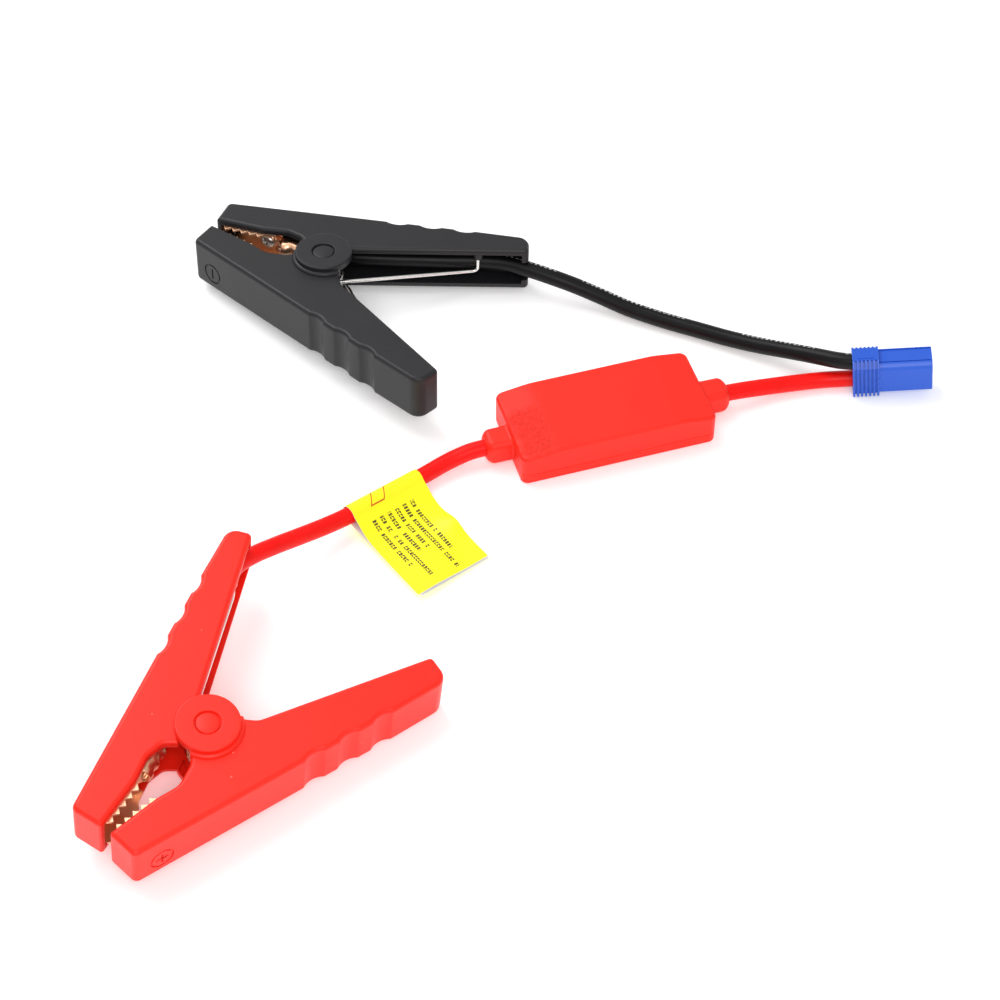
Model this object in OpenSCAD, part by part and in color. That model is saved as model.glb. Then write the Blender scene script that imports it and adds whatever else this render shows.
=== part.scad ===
// Clamp lead set of a vehicle jump starter: two spring clamps, an inline
// protection module, three cables, a folded tag and a two-pole plug.

/* [Clamp] */
// Distance from the pivot to the jaw tips
jaw_reach = 56; // [52:0.5:58]
// Distance from the pivot to the handle ends, measured along the clamp
handle_reach = 78.5; // [77:0.5:82]
// Height of a lever
lever_h = 22; // [20.5:0.5:24]
// Thickness of a lever's top and bottom walls
wall = 3; // [2.4:0.1:3.2]
// Diameter of the pivot disc
disc_d = 25; // [24:0.5:26]
// How far the pivot disc stands over the lever
disc_h = 3.5; // [3:0.1:3.6]
// Diameter of the pivot pin
pin_d = 9.3; // [8:0.1:10]
// Number of finger dips on a handle
dips = 3; // [1:1:3]

/* [Spring] */
// Diameter of the spring wire
wire_d = 1.7; // [1.4:0.1:1.8]
// Mean radius of the spring coil
coil_r = 8; // [7.5:0.1:8.2]
// Full turns of the coil between the two legs
coil_turns = 3; // [2:1:3]

/* [Jaw inserts] */
// Number of teeth on a jaw edge
teeth = 5; // [3:1:6]
// Distance from tooth to tooth
tooth_pitch = 3.9; // [3.2:0.1:4]
// Depth of a tooth
tooth_depth = 2.2; // [1.5:0.1:2.4]
// Thickness of the copper sheet
sheet_t = 1; // [0.8:0.1:1.2]

/* [Cable] */
// Outer diameter of the cable
cable_d = 7.2; // [6.4:0.1:7.4]

/* [Module] */
// Length of the protection module
module_l = 86; // [80:1:90]
// Width of the protection module
module_w = 41; // [38:0.2:42]
// Height of the protection module
module_h = 17; // [16:0.5:20]
// Thickness of the module's walls
shell_t = 2.2; // [1.6:0.1:2.6]

/* [Plug] */
// Length of the ribbed collar
collar_l = 11.2; // [10:0.2:14]
// Length of the nose
nose_l = 22.6; // [20:0.2:26]
// Inner diameter of a contact socket
socket_d = 5; // [4.8:0.1:5.2]
// Distance between the two contacts
contact_pitch = 7.8; // [7.6:0.1:8.2]

/* [Hidden] */
$fn = 48;

black_plastic = [0.09, 0.09, 0.1];
red_plastic = [0.95, 0.12, 0.08];
red_jacket = [0.9, 0.05, 0.04];
black_jacket = [0.03, 0.03, 0.035];
copper = [0.85, 0.5, 0.3];
steel = [0.8, 0.8, 0.82];
plug_blue = [0.12, 0.25, 0.75];
tag_yellow = [1, 0.95, 0.05];

// Middle of the whole layout, which becomes the origin
layout_mid = [-29.1, -16.73];

// A clamp lies tipped on the rim of its lower disc: place, tip and heading
black_place = [-78, 116.5, 1.1];
black_tip = [-4.9, 0.95];
black_heading = -26;
red_place = [-111, -134.5, 3.2];
red_tip = [4.4, 5.7];
red_heading = 53;

module_place = [44.6, 40.2, 0];
module_heading = 17;
relief_offset = -1.8;
relief_l = 11;
relief_z = 7.3;
seam_z = 5;

// The plug stands on its rear bottom edge with the nose raised
plug_place = [152.8, 65.6, 0];
plug_rise = 6.5;
plug_turn = -2;
cable_split = 9.8;

// Cable routes, in the layout, each from its first fitting to its last
black_route = [
    [-85.7, 135.3, 14.2], [-78.5, 134, 14.1], [-66, 132, 14], [-53.5, 131, 14],
    [-38, 130.5, 13.8], [-22.5, 130.2, 13.5], [-8, 130, 13.4], [3, 128.5, 13.3],
    [13, 125.3, 12.5], [23.5, 121.8, 11], [34, 118.3, 9], [44.5, 114, 7],
    [56.5, 108.5, 5], [72.5, 101.8, 4], [88, 95.5, 4], [101, 89.8, 4.5],
    [113.5, 84.2, 6], [124, 79.4, 8], [133, 74.7, 10.3], [140, 70.7, 12.2],
    [146.3, 67.5, 13.7], [153.7, 65.6, 14.8]
];
red_clamp_route = [
    [-125.7, -133.7, 19.2], [-121.5, -122, 19.7], [-118, -109.5, 20.5],
    [-114.5, -94.5, 21.3], [-111.5, -79.5, 22], [-108.5, -65.5, 22.8],
    [-104.5, -55, 23], [-98.5, -47.6, 21], [-90, -39.7, 17.8],
    [-80.5, -31.3, 13.9], [-71, -23, 10.3], [-62, -15.3, 7.9],
    [-48, -3.9, 6.5], [-34, 7.5, 5.1], [-21, 16.8, 5.8],
    [-12.3, 20.9, 7], [-6.5, 22.7, 7.3], [6.9, 26.8, 7.3]
];
red_plug_route = [
    [83.4, 50.2, 7.3], [96.8, 54.3, 7.3], [102.5, 56, 7], [108, 57.8, 6.3],
    [114, 59.7, 5.5], [123, 62.2, 4.6], [134, 64.6, 4], [141, 65.6, 3.9],
    [147.4, 65.8, 4.2], [154.8, 65.5, 5.1]
];

// ---- small helpers -------------------------------------------------------

function unit(v) = v / norm(v);

// One corner of an outline, rounded to radius r
function corner(before, p, after, r, steps) =
    r == 0 ? [p] :
    let (a = unit(before - p), b = unit(after - p), half = acos(a * b) / 2)
    let (mid = p + unit(a + b) * r / sin(half), start = p + a * r / tan(half))
    let (finish = p + b * r / tan(half))
    let (from = atan2(start[1] - mid[1], start[0] - mid[0]))
    let (to = atan2(finish[1] - mid[1], finish[0] - mid[0]))
    let (sweep = (to - from + 540) % 360 - 180)
    [for (i = [0:steps]) mid + r * [cos(from + sweep * i / steps), sin(from + sweep * i / steps)]];

// Outline through [x, y, radius] corners
function rounded(pts, steps = 6) =
    let (n = len(pts), xy = [for (p = pts) [p[0], p[1]]])
    [for (i = [0:n - 1]) each corner(xy[(i + n - 1) % n], xy[i], xy[(i + 1) % n], pts[i][2], steps)];

// Closed tube of the given radius through a list of points
module tube(path, radius, sides = 10) {
    last = len(path) - 1;
    along = [for (i = [0:last]) unit(path[min(i + 1, last)] - path[max(i - 1, 0)])];
    rings = [for (i = [0:last])
        let (side = unit(cross(along[i], [0, 0.05, 1])), up = cross(side, along[i]))
        [for (k = [0:sides - 1]) let (a = 360 * k / sides)
            path[i] + radius * (cos(a) * side + sin(a) * up)]];
    skin = [for (i = [0:last - 1], k = [0:sides - 1])
        let (j = (k + 1) % sides)
        [i * sides + k, i * sides + j, (i + 1) * sides + j, (i + 1) * sides + k]];
    caps = [[for (k = [sides - 1:-1:0]) k], [for (k = [0:sides - 1]) last * sides + k]];
    polyhedron(points = [for (r = rings) each r], faces = concat(skin, caps), convexity = 8);
}

module in_layout() {
    translate([-layout_mid[0], -layout_mid[1], 0]) children();
}

module at_clamp(place, tip, heading) {
    in_layout()
        translate(place)
            rotate([tip[0], 0, 0])
                rotate([0, tip[1], 0])
                    rotate([0, 0, heading])
                        children();
}

module at_black() {
    at_clamp(black_place, black_tip, black_heading) children();
}

module at_red() {
    at_clamp(red_place, red_tip, red_heading) children();
}

module at_module() {
    in_layout() translate(module_place) rotate([0, 0, module_heading]) children();
}

module at_plug() {
    in_layout() translate(plug_place) rotate([0, 0, plug_turn]) rotate([0, -plug_rise, 0])
        translate([0, 0, collar_h / 2]) children();
}

// ---- clamp ---------------------------------------------------------------
// The clamp's own frame: origin under the pivot disc, +X from the jaws to the
// handles, +Z up. The cable lever is on the +Y side, the squeeze lever on -Y.

low_z = disc_h;
high_z = disc_h + lever_h;
mid_z = disc_h + lever_h / 2;
running_gap = 0.15;

// Outer edge of each lever as [rise, height at the pivot]
squeeze_edge = [0.305, 32.86];
cable_edge = [0.298, 32.45];
dip_r = 8.9;
dip_depth = 1.35;
dip_first_x = 17;
dip_pitch = 14.6;

function outer_y(x, edge) = edge[1] + edge[0] * x;

// A finger dip is a shallow arc cut into the outer edge
function dip(x, edge) =
    let (out = unit([-edge[0], 1]), along = unit([1, edge[0]]))
    let (mid = [x, outer_y(x, edge)] + out * (dip_r - dip_depth), half = acos((dip_r - dip_depth) / dip_r))
    [for (i = [0:6]) let (a = half * (1 - i / 3)) mid + dip_r * (sin(a) * along - cos(a) * out)];

cable_mouth = [[-34, 5.2, 6], [-23, 8.8, 6], [-15.8, 7.9, 4], [-12.2, 3.6, 0]];
squeeze_mouth = [[-34, 5.2, 6], [-25, 7.8, 8], [-16, 5.3, 5], [-12, 2, 0]];
tip_x = -jaw_reach - 1.3;
end_x = handle_reach - 3.9;

// Inner edge from the pivot to the handle's end; the squeeze lever is a little
// deeper and longer, and swells where it joins its disc
cable_inner = [[6, 9.9, 0], [handle_reach, 45.2, 1.5]];
squeeze_inner = [[6, 4.8, 0], [11.5, 6.8, 1.5], [15, 12, 6], [handle_reach + 0.8, 44, 1.5]];

function lever_corners(edge) = concat(
    [[-jaw_reach, 2, 1]],
    edge == squeeze_edge ? concat(squeeze_mouth, squeeze_inner) : concat(cable_mouth, cable_inner),
    [[end_x + (edge == squeeze_edge ? 0.8 : 0), outer_y(end_x, edge) - 0.6, 5.5]],
    [for (i = [dips - 1:-1:0]) each [for (p = dip(dip_first_x + dip_pitch * i, edge)) [p[0], p[1], 0]]],
    [[tip_x, outer_y(tip_x, edge), 2.8]]
);

channel_inset = 3.35;

function channel(edge) = [
    [-jaw_reach + 2.8, -6], [handle_reach + 18, -6],
    [handle_reach - 5.5, outer_y(handle_reach - 5.5, edge) - channel_inset],
    [-jaw_reach + 1.6, outer_y(-jaw_reach + 1.6, edge) - channel_inset]
];

// Channel-shaped lever with its walls, on the +Y side
module lever_body(edge) {
    difference() {
        translate([0, 0, low_z]) linear_extrude(lever_h) polygon(rounded(lever_corners(edge)));
        translate([0, 0, low_z + wall]) linear_extrude(lever_h - 2 * wall) polygon(channel(edge));
    }
}

hook_x = 57.5;
hook_y = 37;
lug_r = 2.1;
lug_h = 3;

// Pocket under the top wall that holds the spring's hooked end
module spring_pocket() {
    difference() {
        translate([hook_x, hook_y + 0.4, high_z - wall - lug_h]) cylinder(r = lug_r, h = lug_h + 0.1);
        translate([hook_x, hook_y, high_z - wall - lug_h - 1]) cylinder(d = wire_d + 0.3, h = lug_h + 0.5);
    }
}

ear_r = 9;
ear_gap = 0.4;
pin_fit = 0.07;

module cable_lever() {
    notch_h = cable_d + 2.8;
    difference() {
        union() {
            lever_body(cable_edge);
            for (z = [low_z, high_z - wall]) translate([0, 0, z]) cylinder(r = ear_r, h = wall);
            spring_pocket();
        }
        translate([0, 0, -1]) cylinder(d = pin_d + 0.02, h = lever_h + 10);
        // cable outlet through the handle's end wall
        translate([handle_reach - 8, 38, mid_z - 6]) cube([14, 12.2, notch_h]);
    }
}

skirt_w = 1.4;

// Disc of the squeeze lever that covers the pivot; its root joins the wall under it
module pivot_disc() {
    translate([0, 0, high_z + running_gap]) cylinder(d = disc_d, h = disc_h - running_gap);
    difference() {
        intersection() {
            translate([0, 0, high_z - wall]) linear_extrude(wall + skirt_w + 0.2)
                mirror([0, 1]) polygon(rounded(lever_corners(squeeze_edge)));
            union() {
                translate([0, 0, high_z - wall]) cylinder(d = disc_d, h = wall + skirt_w + 0.2);
                translate([0, 0, high_z]) cylinder(r1 = disc_d / 2 + skirt_w, r2 = disc_d / 2, h = skirt_w);
                translate([0, 0, high_z - 1]) cylinder(r = disc_d / 2 + skirt_w, h = 1);
            }
        }
        translate([0, 0, high_z - wall - 1]) cylinder(r = ear_r + ear_gap, h = wall + 1 + running_gap);
    }
}

// Shallow round badge with a generic pole sign, cut into the jaw's outer wall
module pole_sign(positive) {
    badge_x = -46.4;
    depth = 0.5;
    lean = atan(squeeze_edge[0]);
    translate([badge_x, -outer_y(badge_x, squeeze_edge), mid_z - 2.3])
        rotate([0, 0, -lean]) rotate([90, 0, 0]) translate([0, 0, -depth]) {
            linear_extrude(2) difference() {
                circle(r = 5);
                circle(r = 4.3);
            }
            translate([-2.6, -0.4, 0]) cube([5.2, 0.8, 2]);
            if (positive) translate([-0.4, -2.6, 0]) cube([0.8, 5.2, 2]);
        }
}

module squeeze_lever(positive) {
    difference() {
        union() {
            difference() {
                mirror([0, 1, 0]) lever_body(squeeze_edge);
                translate([0, 0, -1]) cylinder(r = ear_r + ear_gap, h = lever_h + 10);
            }
            pivot_disc();
            translate([0, 0, 2 * mid_z]) mirror([0, 0, 1]) pivot_disc();
            mirror([0, 1, 0]) spring_pocket();
        }
        translate([0, 0, -1]) cylinder(d = pin_d + 2 * pin_fit, h = lever_h + 10);
        // dark ring round the pin's head
        for (z = [-1, 2 * mid_z - 1]) translate([0, 0, z]) cylinder(d = pin_d + 0.9, h = 2);
        pole_sign(positive);
    }
}

pin_inset = 0.3;
rod_d = 4;

module pivot_pin() {
    total = 2 * mid_z - 2 * pin_inset;
    difference() {
        translate([0, 0, pin_inset]) cylinder(d = pin_d, h = total);
        translate([0, 0, pin_inset - 1]) cylinder(d = rod_d + 0.04, h = total - 1);
    }
}

module pivot_rod() {
    translate([0, 0, pin_inset + 0.5]) cylinder(d = rod_d, h = 2 * mid_z - 2 * pin_inset - 3);
}

// ---- torsion spring ------------------------------------------------------

coil_low = 10.2;
coil_high = 17;
hook_low = 12.5;
hook_top = high_z - wall - 0.6;
hook_bend = 2.2;

// Where a leg's line touches the coil, as an angle. The legs of a coil wound with
// +1 cross inside the V of the clamp; with -1 they run along inside the levers.
function leg_angle(wound) = atan2(hook_y, hook_x) - wound * acos(coil_r / norm([hook_x, hook_y]));

// Leg from the hook's top to the coil, with side +1 for the cable lever
function leg(side, z, wound) =
    let (a = leg_angle(wound), touch = [coil_r * cos(a), side * coil_r * sin(a), z])
    let (foot = [hook_x, side * hook_y, hook_low], in = unit(touch - foot))
    concat(
        [[hook_x, side * hook_y, hook_top]],
        [for (i = [0:4]) let (a = 22.5 * i)
            foot + hook_bend * ((1 - sin(a)) * [0, 0, 1] + (1 - cos(a)) * in)],
        [foot + in * 20, foot + in * 40]
    );

ring_step = 18;

function coil(wound) =
    let (start = -leg_angle(wound), sweep = 360 * coil_turns + 360 + 2 * wound * leg_angle(wound))
    let (n = round(sweep / ring_step))
    [for (i = [0:n]) let (a = start + wound * sweep * i / n)
        [coil_r * cos(a), coil_r * sin(a), coil_low + (coil_high - coil_low) * i / n]];

function reversed(list) = [for (i = [len(list) - 1:-1:0]) list[i]];

module torsion_spring(wound) {
    tube(concat(leg(-1, coil_low, wound), coil(wound), reversed(leg(1, coil_high, wound))), wire_d / 2, 8);
}

// ---- jaw inserts ---------------------------------------------------------

jaw_front = -jaw_reach + 3.4;
jaw_back = -28;
web_y = 12;
root_rise = 0.12;
jaw_low = low_z + wall;
jaw_high = high_z - wall;

function tooth_root_y(x) = 2.6 + root_rise * (x - jaw_front);

// Toothed edge of a jaw flange
tooth_line = [for (i = [0:2 * teeth])
    let (x = jaw_front + tooth_pitch * i / 2)
    [x, tooth_root_y(x) - (i % 2 == 1 ? tooth_depth : 0)]];

flange_plan = concat(
    tooth_line,
    [[jaw_back, tooth_root_y(jaw_back) + 1.4], [jaw_back, web_y + sheet_t]],
    [[jaw_front + 1, web_y + sheet_t], [jaw_front, web_y]]
);

rivet_x = -42;

// Folded copper channel with two toothed flanges, on the +Y side
module jaw_channel(hole_x, hole_d) {
    difference() {
        union() {
            for (z = [jaw_low, jaw_high - sheet_t])
                translate([0, 0, z]) linear_extrude(sheet_t) polygon(flange_plan);
            translate([jaw_front + 1, web_y, jaw_low])
                cube([jaw_back - jaw_front - 1, sheet_t, jaw_high - jaw_low]);
        }
        translate([hole_x, web_y - 5, mid_z]) rotate([-90, 0, 0]) cylinder(d = hole_d, h = 10);
    }
}

lug_x = -33;
lug_t = 1.2;
barrel_front = [-26.7, 9.5, mid_z];
barrel_l = 13.4;
barrel_turn = 15;
barrel_r = 4.3;
screw_d = 3.4;

// Copper lug: a flat tongue under the screw and a round barrel for the strands
module crimp_lug() {
    difference() {
        union() {
            translate([lug_x - 4.5, web_y - lug_t, mid_z - 4]) cube([6.6, lug_t, 8]);
            hull() {
                translate([lug_x + 2, web_y - lug_t, mid_z - 4]) cube([0.5, lug_t, 8]);
                translate(barrel_front) rotate([0, 0, barrel_turn])
                    translate([-0.5, -2.4, -2.6]) cube([0.6, 4.4, 5.2]);
            }
            translate(barrel_front) rotate([0, 0, barrel_turn]) rotate([0, 90, 0])
                cylinder(r = barrel_r, h = barrel_l);
        }
        translate([lug_x - 1.5, web_y - 5, mid_z]) rotate([-90, 0, 0]) cylinder(d = screw_d + 0.4, h = 10);
    }
}

// Pan-head screw through the lug and the jaw's web
module lug_screw() {
    translate([lug_x - 1.5, web_y - lug_t, mid_z]) rotate([90, 0, 0]) {
        difference() {
            cylinder(r1 = 3.4, r2 = 2.8, h = 2);
            for (turn = [0, 90]) rotate([0, 0, turn]) translate([-2, -0.35, 1]) cube([4, 0.7, 2]);
        }
        translate([0, 0, -5]) cylinder(d = screw_d, h = 5.5);
    }
}

// Rivet that holds the squeeze lever's insert, on the -Y side
module jaw_rivet() {
    translate([rivet_x, -web_y, mid_z]) rotate([-90, 0, 0]) {
        rotate_extrude()
            polygon([[0, -1], [0, 1.6], [1.8, 1.4], [2.9, 0.8], [3.2, 0], [1.5, 0], [1.5, -1]]);
    }
}

// ---- module --------------------------------------------------------------

slope_l = 15;
slope_drop = 2.2;
plan_r = 3;

// Side profile of the module, pulled in by the given amount
module module_block(inset) {
    l = module_l / 2 - inset;
    h = module_h - inset;
    intersection() {
        rotate([90, 0, 0]) translate([0, 0, -module_w / 2]) linear_extrude(module_w)
            polygon([
                [-l, inset], [-l, h - slope_drop], [-l + slope_l, h],
                [l - slope_l, h], [l, h - slope_drop], [l, inset]
            ]);
        linear_extrude(module_h) polygon(rounded([
            [-l, -module_w / 2 + inset, plan_r], [l, -module_w / 2 + inset, plan_r],
            [l, module_w / 2 - inset, plan_r], [-l, module_w / 2 - inset, plan_r]
        ]));
    }
}

module cable_openings() {
    translate([0, relief_offset, relief_z]) rotate([0, 90, 0])
        cylinder(d = cable_d - 0.1, h = module_l + 4, center = true);
}

module module_cover() {
    difference() {
        module_block(0);
        module_block(shell_t);
        translate([0, 0, seam_z - 20]) cube([200, 200, 40], center = true);
        cable_openings();
    }
}

post_x = 29;
post_y = 13.5;
post_h = 2.4;
board_t = 1.6;

module module_base() {
    difference() {
        union() {
            difference() {
                module_block(0);
                module_block(shell_t);
            }
            for (x = [-post_x, post_x], y = [-post_y, post_y])
                translate([x, y, shell_t - 0.1]) cylinder(r = 2.6, h = post_h + 0.1);
        }
        translate([0, 0, seam_z + 50]) cube([200, 200, 100], center = true);
        for (x = [-post_x, post_x], y = [-post_y, post_y])
            translate([x, y, 1.4]) cylinder(r = 1.1, h = 10);
    }
}

board_z = shell_t + post_h;

module circuit_board() {
    difference() {
        translate([-35, -16.5, board_z]) cube([70, 33, board_t]);
        for (x = [-post_x, post_x], y = [-post_y, post_y])
            translate([x, y, board_z - 1]) cylinder(r = 1.35, h = 4);
    }
}

module board_screws() {
    for (x = [-post_x, post_x], y = [-post_y, post_y])
        translate([x, y, board_z + board_t]) {
            cylinder(r1 = 2.2, r2 = 1.7, h = 1.1);
            translate([0, 0, -4.4]) cylinder(r = 1.1, h = 4.5);
        }
}

// Power transistors in two rows
module power_switches() {
    for (i = [-1:1], y = [-12.2, 7.2])
        translate([i * 11.5 - 4, y, board_z + board_t]) cube([8.5, 5, 3.2]);
}

module capacitors() {
    for (x = [19, 25])
        translate([x, 6.5, board_z + board_t]) cylinder(r = 2.5, h = 6.5);
}

// Copper blocks that the cable ends are soldered to
module module_terminals() {
    for (x = [-39.6, 21.6])
        translate([x, relief_offset - 3.5, board_z + board_t]) cube([18, 7, 1.6]);
}

// Moulded sleeve at one end of the module, side -1 or +1
module relief(side) {
    translate([side * module_l / 2, relief_offset, relief_z]) rotate([0, side * 90, 0])
        difference() {
            union() {
                relief_block(12, 12.4, 3, relief_l - 2);
                relief_block(10.4, 10.8, 3, relief_l);
            }
            translate([0, 0, -1]) cylinder(d = cable_d - 0.1, h = relief_l + 2);
        }
}

module relief_block(h, w, r, length) {
    linear_extrude(length) polygon(rounded([
        [-h / 2, -w / 2, r], [h / 2, -w / 2, r], [h / 2, w / 2, r], [-h / 2, w / 2, r]
    ]));
}

// ---- plug ----------------------------------------------------------------

collar_w = 14;
collar_h = 19.6;
nose_w = 12.8;
nose_h = 15.9;
rib_count = 7;
rib_depth = 0.7;
seat_depth = 2;

// House-shaped plug section with two keyed corners at the top
module key_section(w, h, key) {
    polygon([
        [-h / 2, -w / 2], [h / 2 - key, -w / 2], [h / 2, -w / 2 + key],
        [h / 2, w / 2 - key], [h / 2 - key, w / 2], [-h / 2, w / 2]
    ]);
}

// Turns a section drawn as [height, width] into a bar along +X
module bar(from, length) {
    translate([from, 0, 0]) rotate([0, 90, 0]) linear_extrude(length) mirror([1, 0]) children();
}

module plug_housing() {
    rib_pitch = collar_l / (rib_count - 0.5);
    difference() {
        union() {
            bar(0, collar_l) key_section(collar_w - 2 * rib_depth, collar_h - 2 * rib_depth, 2.8);
            for (i = [0:rib_count - 1])
                bar(i * rib_pitch, rib_pitch / 2) key_section(collar_w, collar_h, 3);
            translate([0, -collar_w / 2 + 3.4, collar_h / 2 - 2]) cube([collar_l, collar_w - 6.8, 1.6]);
            bar(collar_l - 0.1, nose_l + 0.1) key_section(nose_w, nose_h, 2.4);
        }
        for (side = [-1, 1]) {
            translate([-1, 0, side * contact_pitch / 2]) rotate([0, 90, 0])
                cylinder(d = socket_d + 1.2, h = 60);
            translate([-1, 0, side * cable_split / 2]) rotate([0, 90, 0])
                cylinder(d = cable_d - 0.1, h = seat_depth + 1);
        }
    }
}

contact_back = 6;
contact_l = 26;

// Gold-plated socket; side -1 is the lower, positive one
module contact(side) {
    translate([contact_back, 0, side * contact_pitch / 2]) rotate([0, 90, 0])
        difference() {
            cylinder(d = socket_d + 1.16, h = contact_l);
            translate([0, 0, contact_l - 18]) cylinder(d = socket_d, h = 20);
            translate([0, 0, -1]) cylinder(d = 4.4, h = 6);
        }
}

// ---- tag -----------------------------------------------------------------

tag_mid = [-48, -3.9, 6.5];
tag_heading = 39.2;
tag_pitch = 4.4;
tag_w = 36;
tag_t = 0.3;
loop_r = 4.05;

// Middle line of the folded strip, seen along the cable as [away, height]: under
// leaf, round the cable, upper leaf
tag_line = concat(
    [[50, -4.9], [30, -4.9], [17, -4.85], [10.5, -4.6], [6.5, -4.35]],
    [for (a = [-75:-22.5:-330]) loop_r * [cos(a), sin(a)]],
    [[6.5, 0], [9.5, -2.1], [13.5, -3.6], [20, -4.35], [30, -4.45], [48.5, -4.45]]
);

// Sideways step from a line's point
function step(line, i) =
    let (d = unit(line[min(i + 1, len(line) - 1)] - line[max(i - 1, 0)])) [-d[1], d[0]];

module warning_tag() {
    n = len(tag_line) - 1;
    in_layout() translate(tag_mid) rotate([0, tag_pitch, tag_heading])
        rotate([90, 0, -90]) linear_extrude(tag_w, center = true) polygon(concat(
            [for (i = [0:n]) tag_line[i] + step(tag_line, i) * tag_t / 2],
            [for (i = [n:-1:0]) tag_line[i] - step(tag_line, i) * tag_t / 2]
        ));
}

module cable(route) {
    in_layout() tube(route, cable_d / 2, 12);
}

// ---- nodes ---------------------------------------------------------------

module black_cable_lever() { color(black_plastic) at_black() cable_lever(); }
module black_squeeze_lever() { color(black_plastic) at_black() squeeze_lever(false); }
module black_pivot_pin() { color(black_plastic) at_black() pivot_pin(); }
module black_pivot_rod() { color(steel) at_black() pivot_rod(); }
module black_spring() { color(steel) at_black() torsion_spring(1); }
module black_cable_jaw() { color(copper) at_black() jaw_channel(lug_x - 1.5, screw_d + 0.1); }
module black_squeeze_jaw() { color(copper) at_black() mirror([0, 1, 0]) jaw_channel(rivet_x, 3.02); }
module black_crimp_lug() { color(copper) at_black() crimp_lug(); }
module black_lug_screw() { color(steel) at_black() lug_screw(); }
module black_jaw_rivet() { color(steel) at_black() jaw_rivet(); }

module red_cable_lever() { color(red_plastic) at_red() cable_lever(); }
module red_squeeze_lever() { color(red_plastic) at_red() squeeze_lever(true); }
module red_pivot_pin() { color(red_plastic) at_red() pivot_pin(); }
module red_pivot_rod() { color(steel) at_red() pivot_rod(); }
module red_spring() { color(steel) at_red() torsion_spring(-1); }
module red_cable_jaw() { color(copper) at_red() jaw_channel(lug_x - 1.5, screw_d + 0.1); }
module red_squeeze_jaw() { color(copper) at_red() mirror([0, 1, 0]) jaw_channel(rivet_x, 3.02); }
module red_crimp_lug() { color(copper) at_red() crimp_lug(); }
module red_lug_screw() { color(steel) at_red() lug_screw(); }
module red_jaw_rivet() { color(steel) at_red() jaw_rivet(); }

black_cable_lever();
black_squeeze_lever();
black_pivot_pin();
black_pivot_rod();
black_spring();
black_cable_jaw();
black_squeeze_jaw();
black_crimp_lug();
black_lug_screw();
black_jaw_rivet();
red_cable_lever();
red_squeeze_lever();
red_pivot_pin();
red_pivot_rod();
red_spring();
red_cable_jaw();
red_squeeze_jaw();
red_crimp_lug();
red_lug_screw();
red_jaw_rivet();
color(red_plastic) at_module() module_cover();
color(red_plastic) at_module() module_base();
color("darkgreen") at_module() circuit_board();
color("dimgray") at_module() power_switches();
color("silver") at_module() capacitors();
color(copper) at_module() module_terminals();
color(steel) at_module() board_screws();
color(red_plastic) at_module() relief(-1);  // clamp_side_relief
color(red_plastic) at_module() relief(1);  // plug_side_relief
color(plug_blue) at_plug() plug_housing();
color("gold") at_plug() contact(1);  // negative_contact
color("gold") at_plug() contact(-1);  // positive_contact
color(black_jacket) cable(black_route);  // black_cable
color(red_jacket) cable(red_clamp_route);  // red_clamp_cable
color(red_jacket) cable(red_plug_route);  // red_plug_cable
color(tag_yellow) warning_tag();
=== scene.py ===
import bmesh
import bpy
import math
from mathutils import Matrix, Vector, noise


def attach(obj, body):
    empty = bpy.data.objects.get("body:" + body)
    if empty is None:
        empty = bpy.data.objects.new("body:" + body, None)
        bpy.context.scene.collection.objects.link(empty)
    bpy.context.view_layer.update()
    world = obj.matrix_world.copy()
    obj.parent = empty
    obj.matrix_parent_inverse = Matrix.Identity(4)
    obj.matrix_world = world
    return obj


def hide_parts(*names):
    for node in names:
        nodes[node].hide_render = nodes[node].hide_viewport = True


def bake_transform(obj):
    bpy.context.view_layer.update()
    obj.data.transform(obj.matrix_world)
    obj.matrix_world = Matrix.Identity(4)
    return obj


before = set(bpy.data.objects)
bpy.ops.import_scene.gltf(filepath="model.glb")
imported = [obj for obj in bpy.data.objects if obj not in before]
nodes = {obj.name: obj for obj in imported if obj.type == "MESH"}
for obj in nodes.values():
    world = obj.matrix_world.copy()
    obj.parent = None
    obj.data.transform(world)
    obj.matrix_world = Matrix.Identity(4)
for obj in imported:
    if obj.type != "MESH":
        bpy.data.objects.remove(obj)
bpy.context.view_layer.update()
scene = bpy.context.scene
mm = 0.001
layoutMid = Vector((-29.1, -16.73, 0))   # middle of the layout, which is the frame's origin


# camera and light

view = {"lens": 88.56, "elevation": 49.0, "distance": 1024.0}

cameraData = bpy.data.cameras.new("camera")
cameraData.lens = view["lens"]
camera = bpy.data.objects.new("camera", cameraData)
scene.collection.objects.link(camera)
tilt = math.radians(view["elevation"])
camera.location = (Vector((0, -math.cos(tilt), math.sin(tilt))) * view["distance"] - layoutMid) * mm
camera.rotation_euler = (math.radians(90) - tilt, 0, 0)
scene.camera = camera
scene.view_settings.view_transform = "Standard"

studio = {"sky": 0.64,
          "lamps": {"keyLight": ((-0.5, 0.45, 1.4), 0.9, 7.0), "frontLight": ((0.14, -1.0, 1.15), 0.8, 8.5),
                    "rimLight": ((-0.62, 0.95, 0.95), 0.5, 5.0)}}

world = bpy.data.worlds.new("studio")
scene.world = world
world.use_nodes = True
backdrop = world.node_tree.nodes["Background"]
backdrop.inputs["Color"].default_value = (1, 1, 1, 1)
backdrop.inputs["Strength"].default_value = studio["sky"]


def spun(degrees, axis):
    return Matrix.Rotation(math.radians(degrees), 4, axis)


def softLight(name, place, size, power):
    lamp = bpy.data.lights.new(name, "AREA")
    lamp.shape = "DISK"
    lamp.size = size
    lamp.energy = power
    obj = bpy.data.objects.new(name, lamp)
    scene.collection.objects.link(obj)
    obj.location = place
    obj.rotation_euler = (Vector((0.02, 0, 0.01)) - Vector(place)).to_track_quat("-Z", "Y").to_euler()


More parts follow.
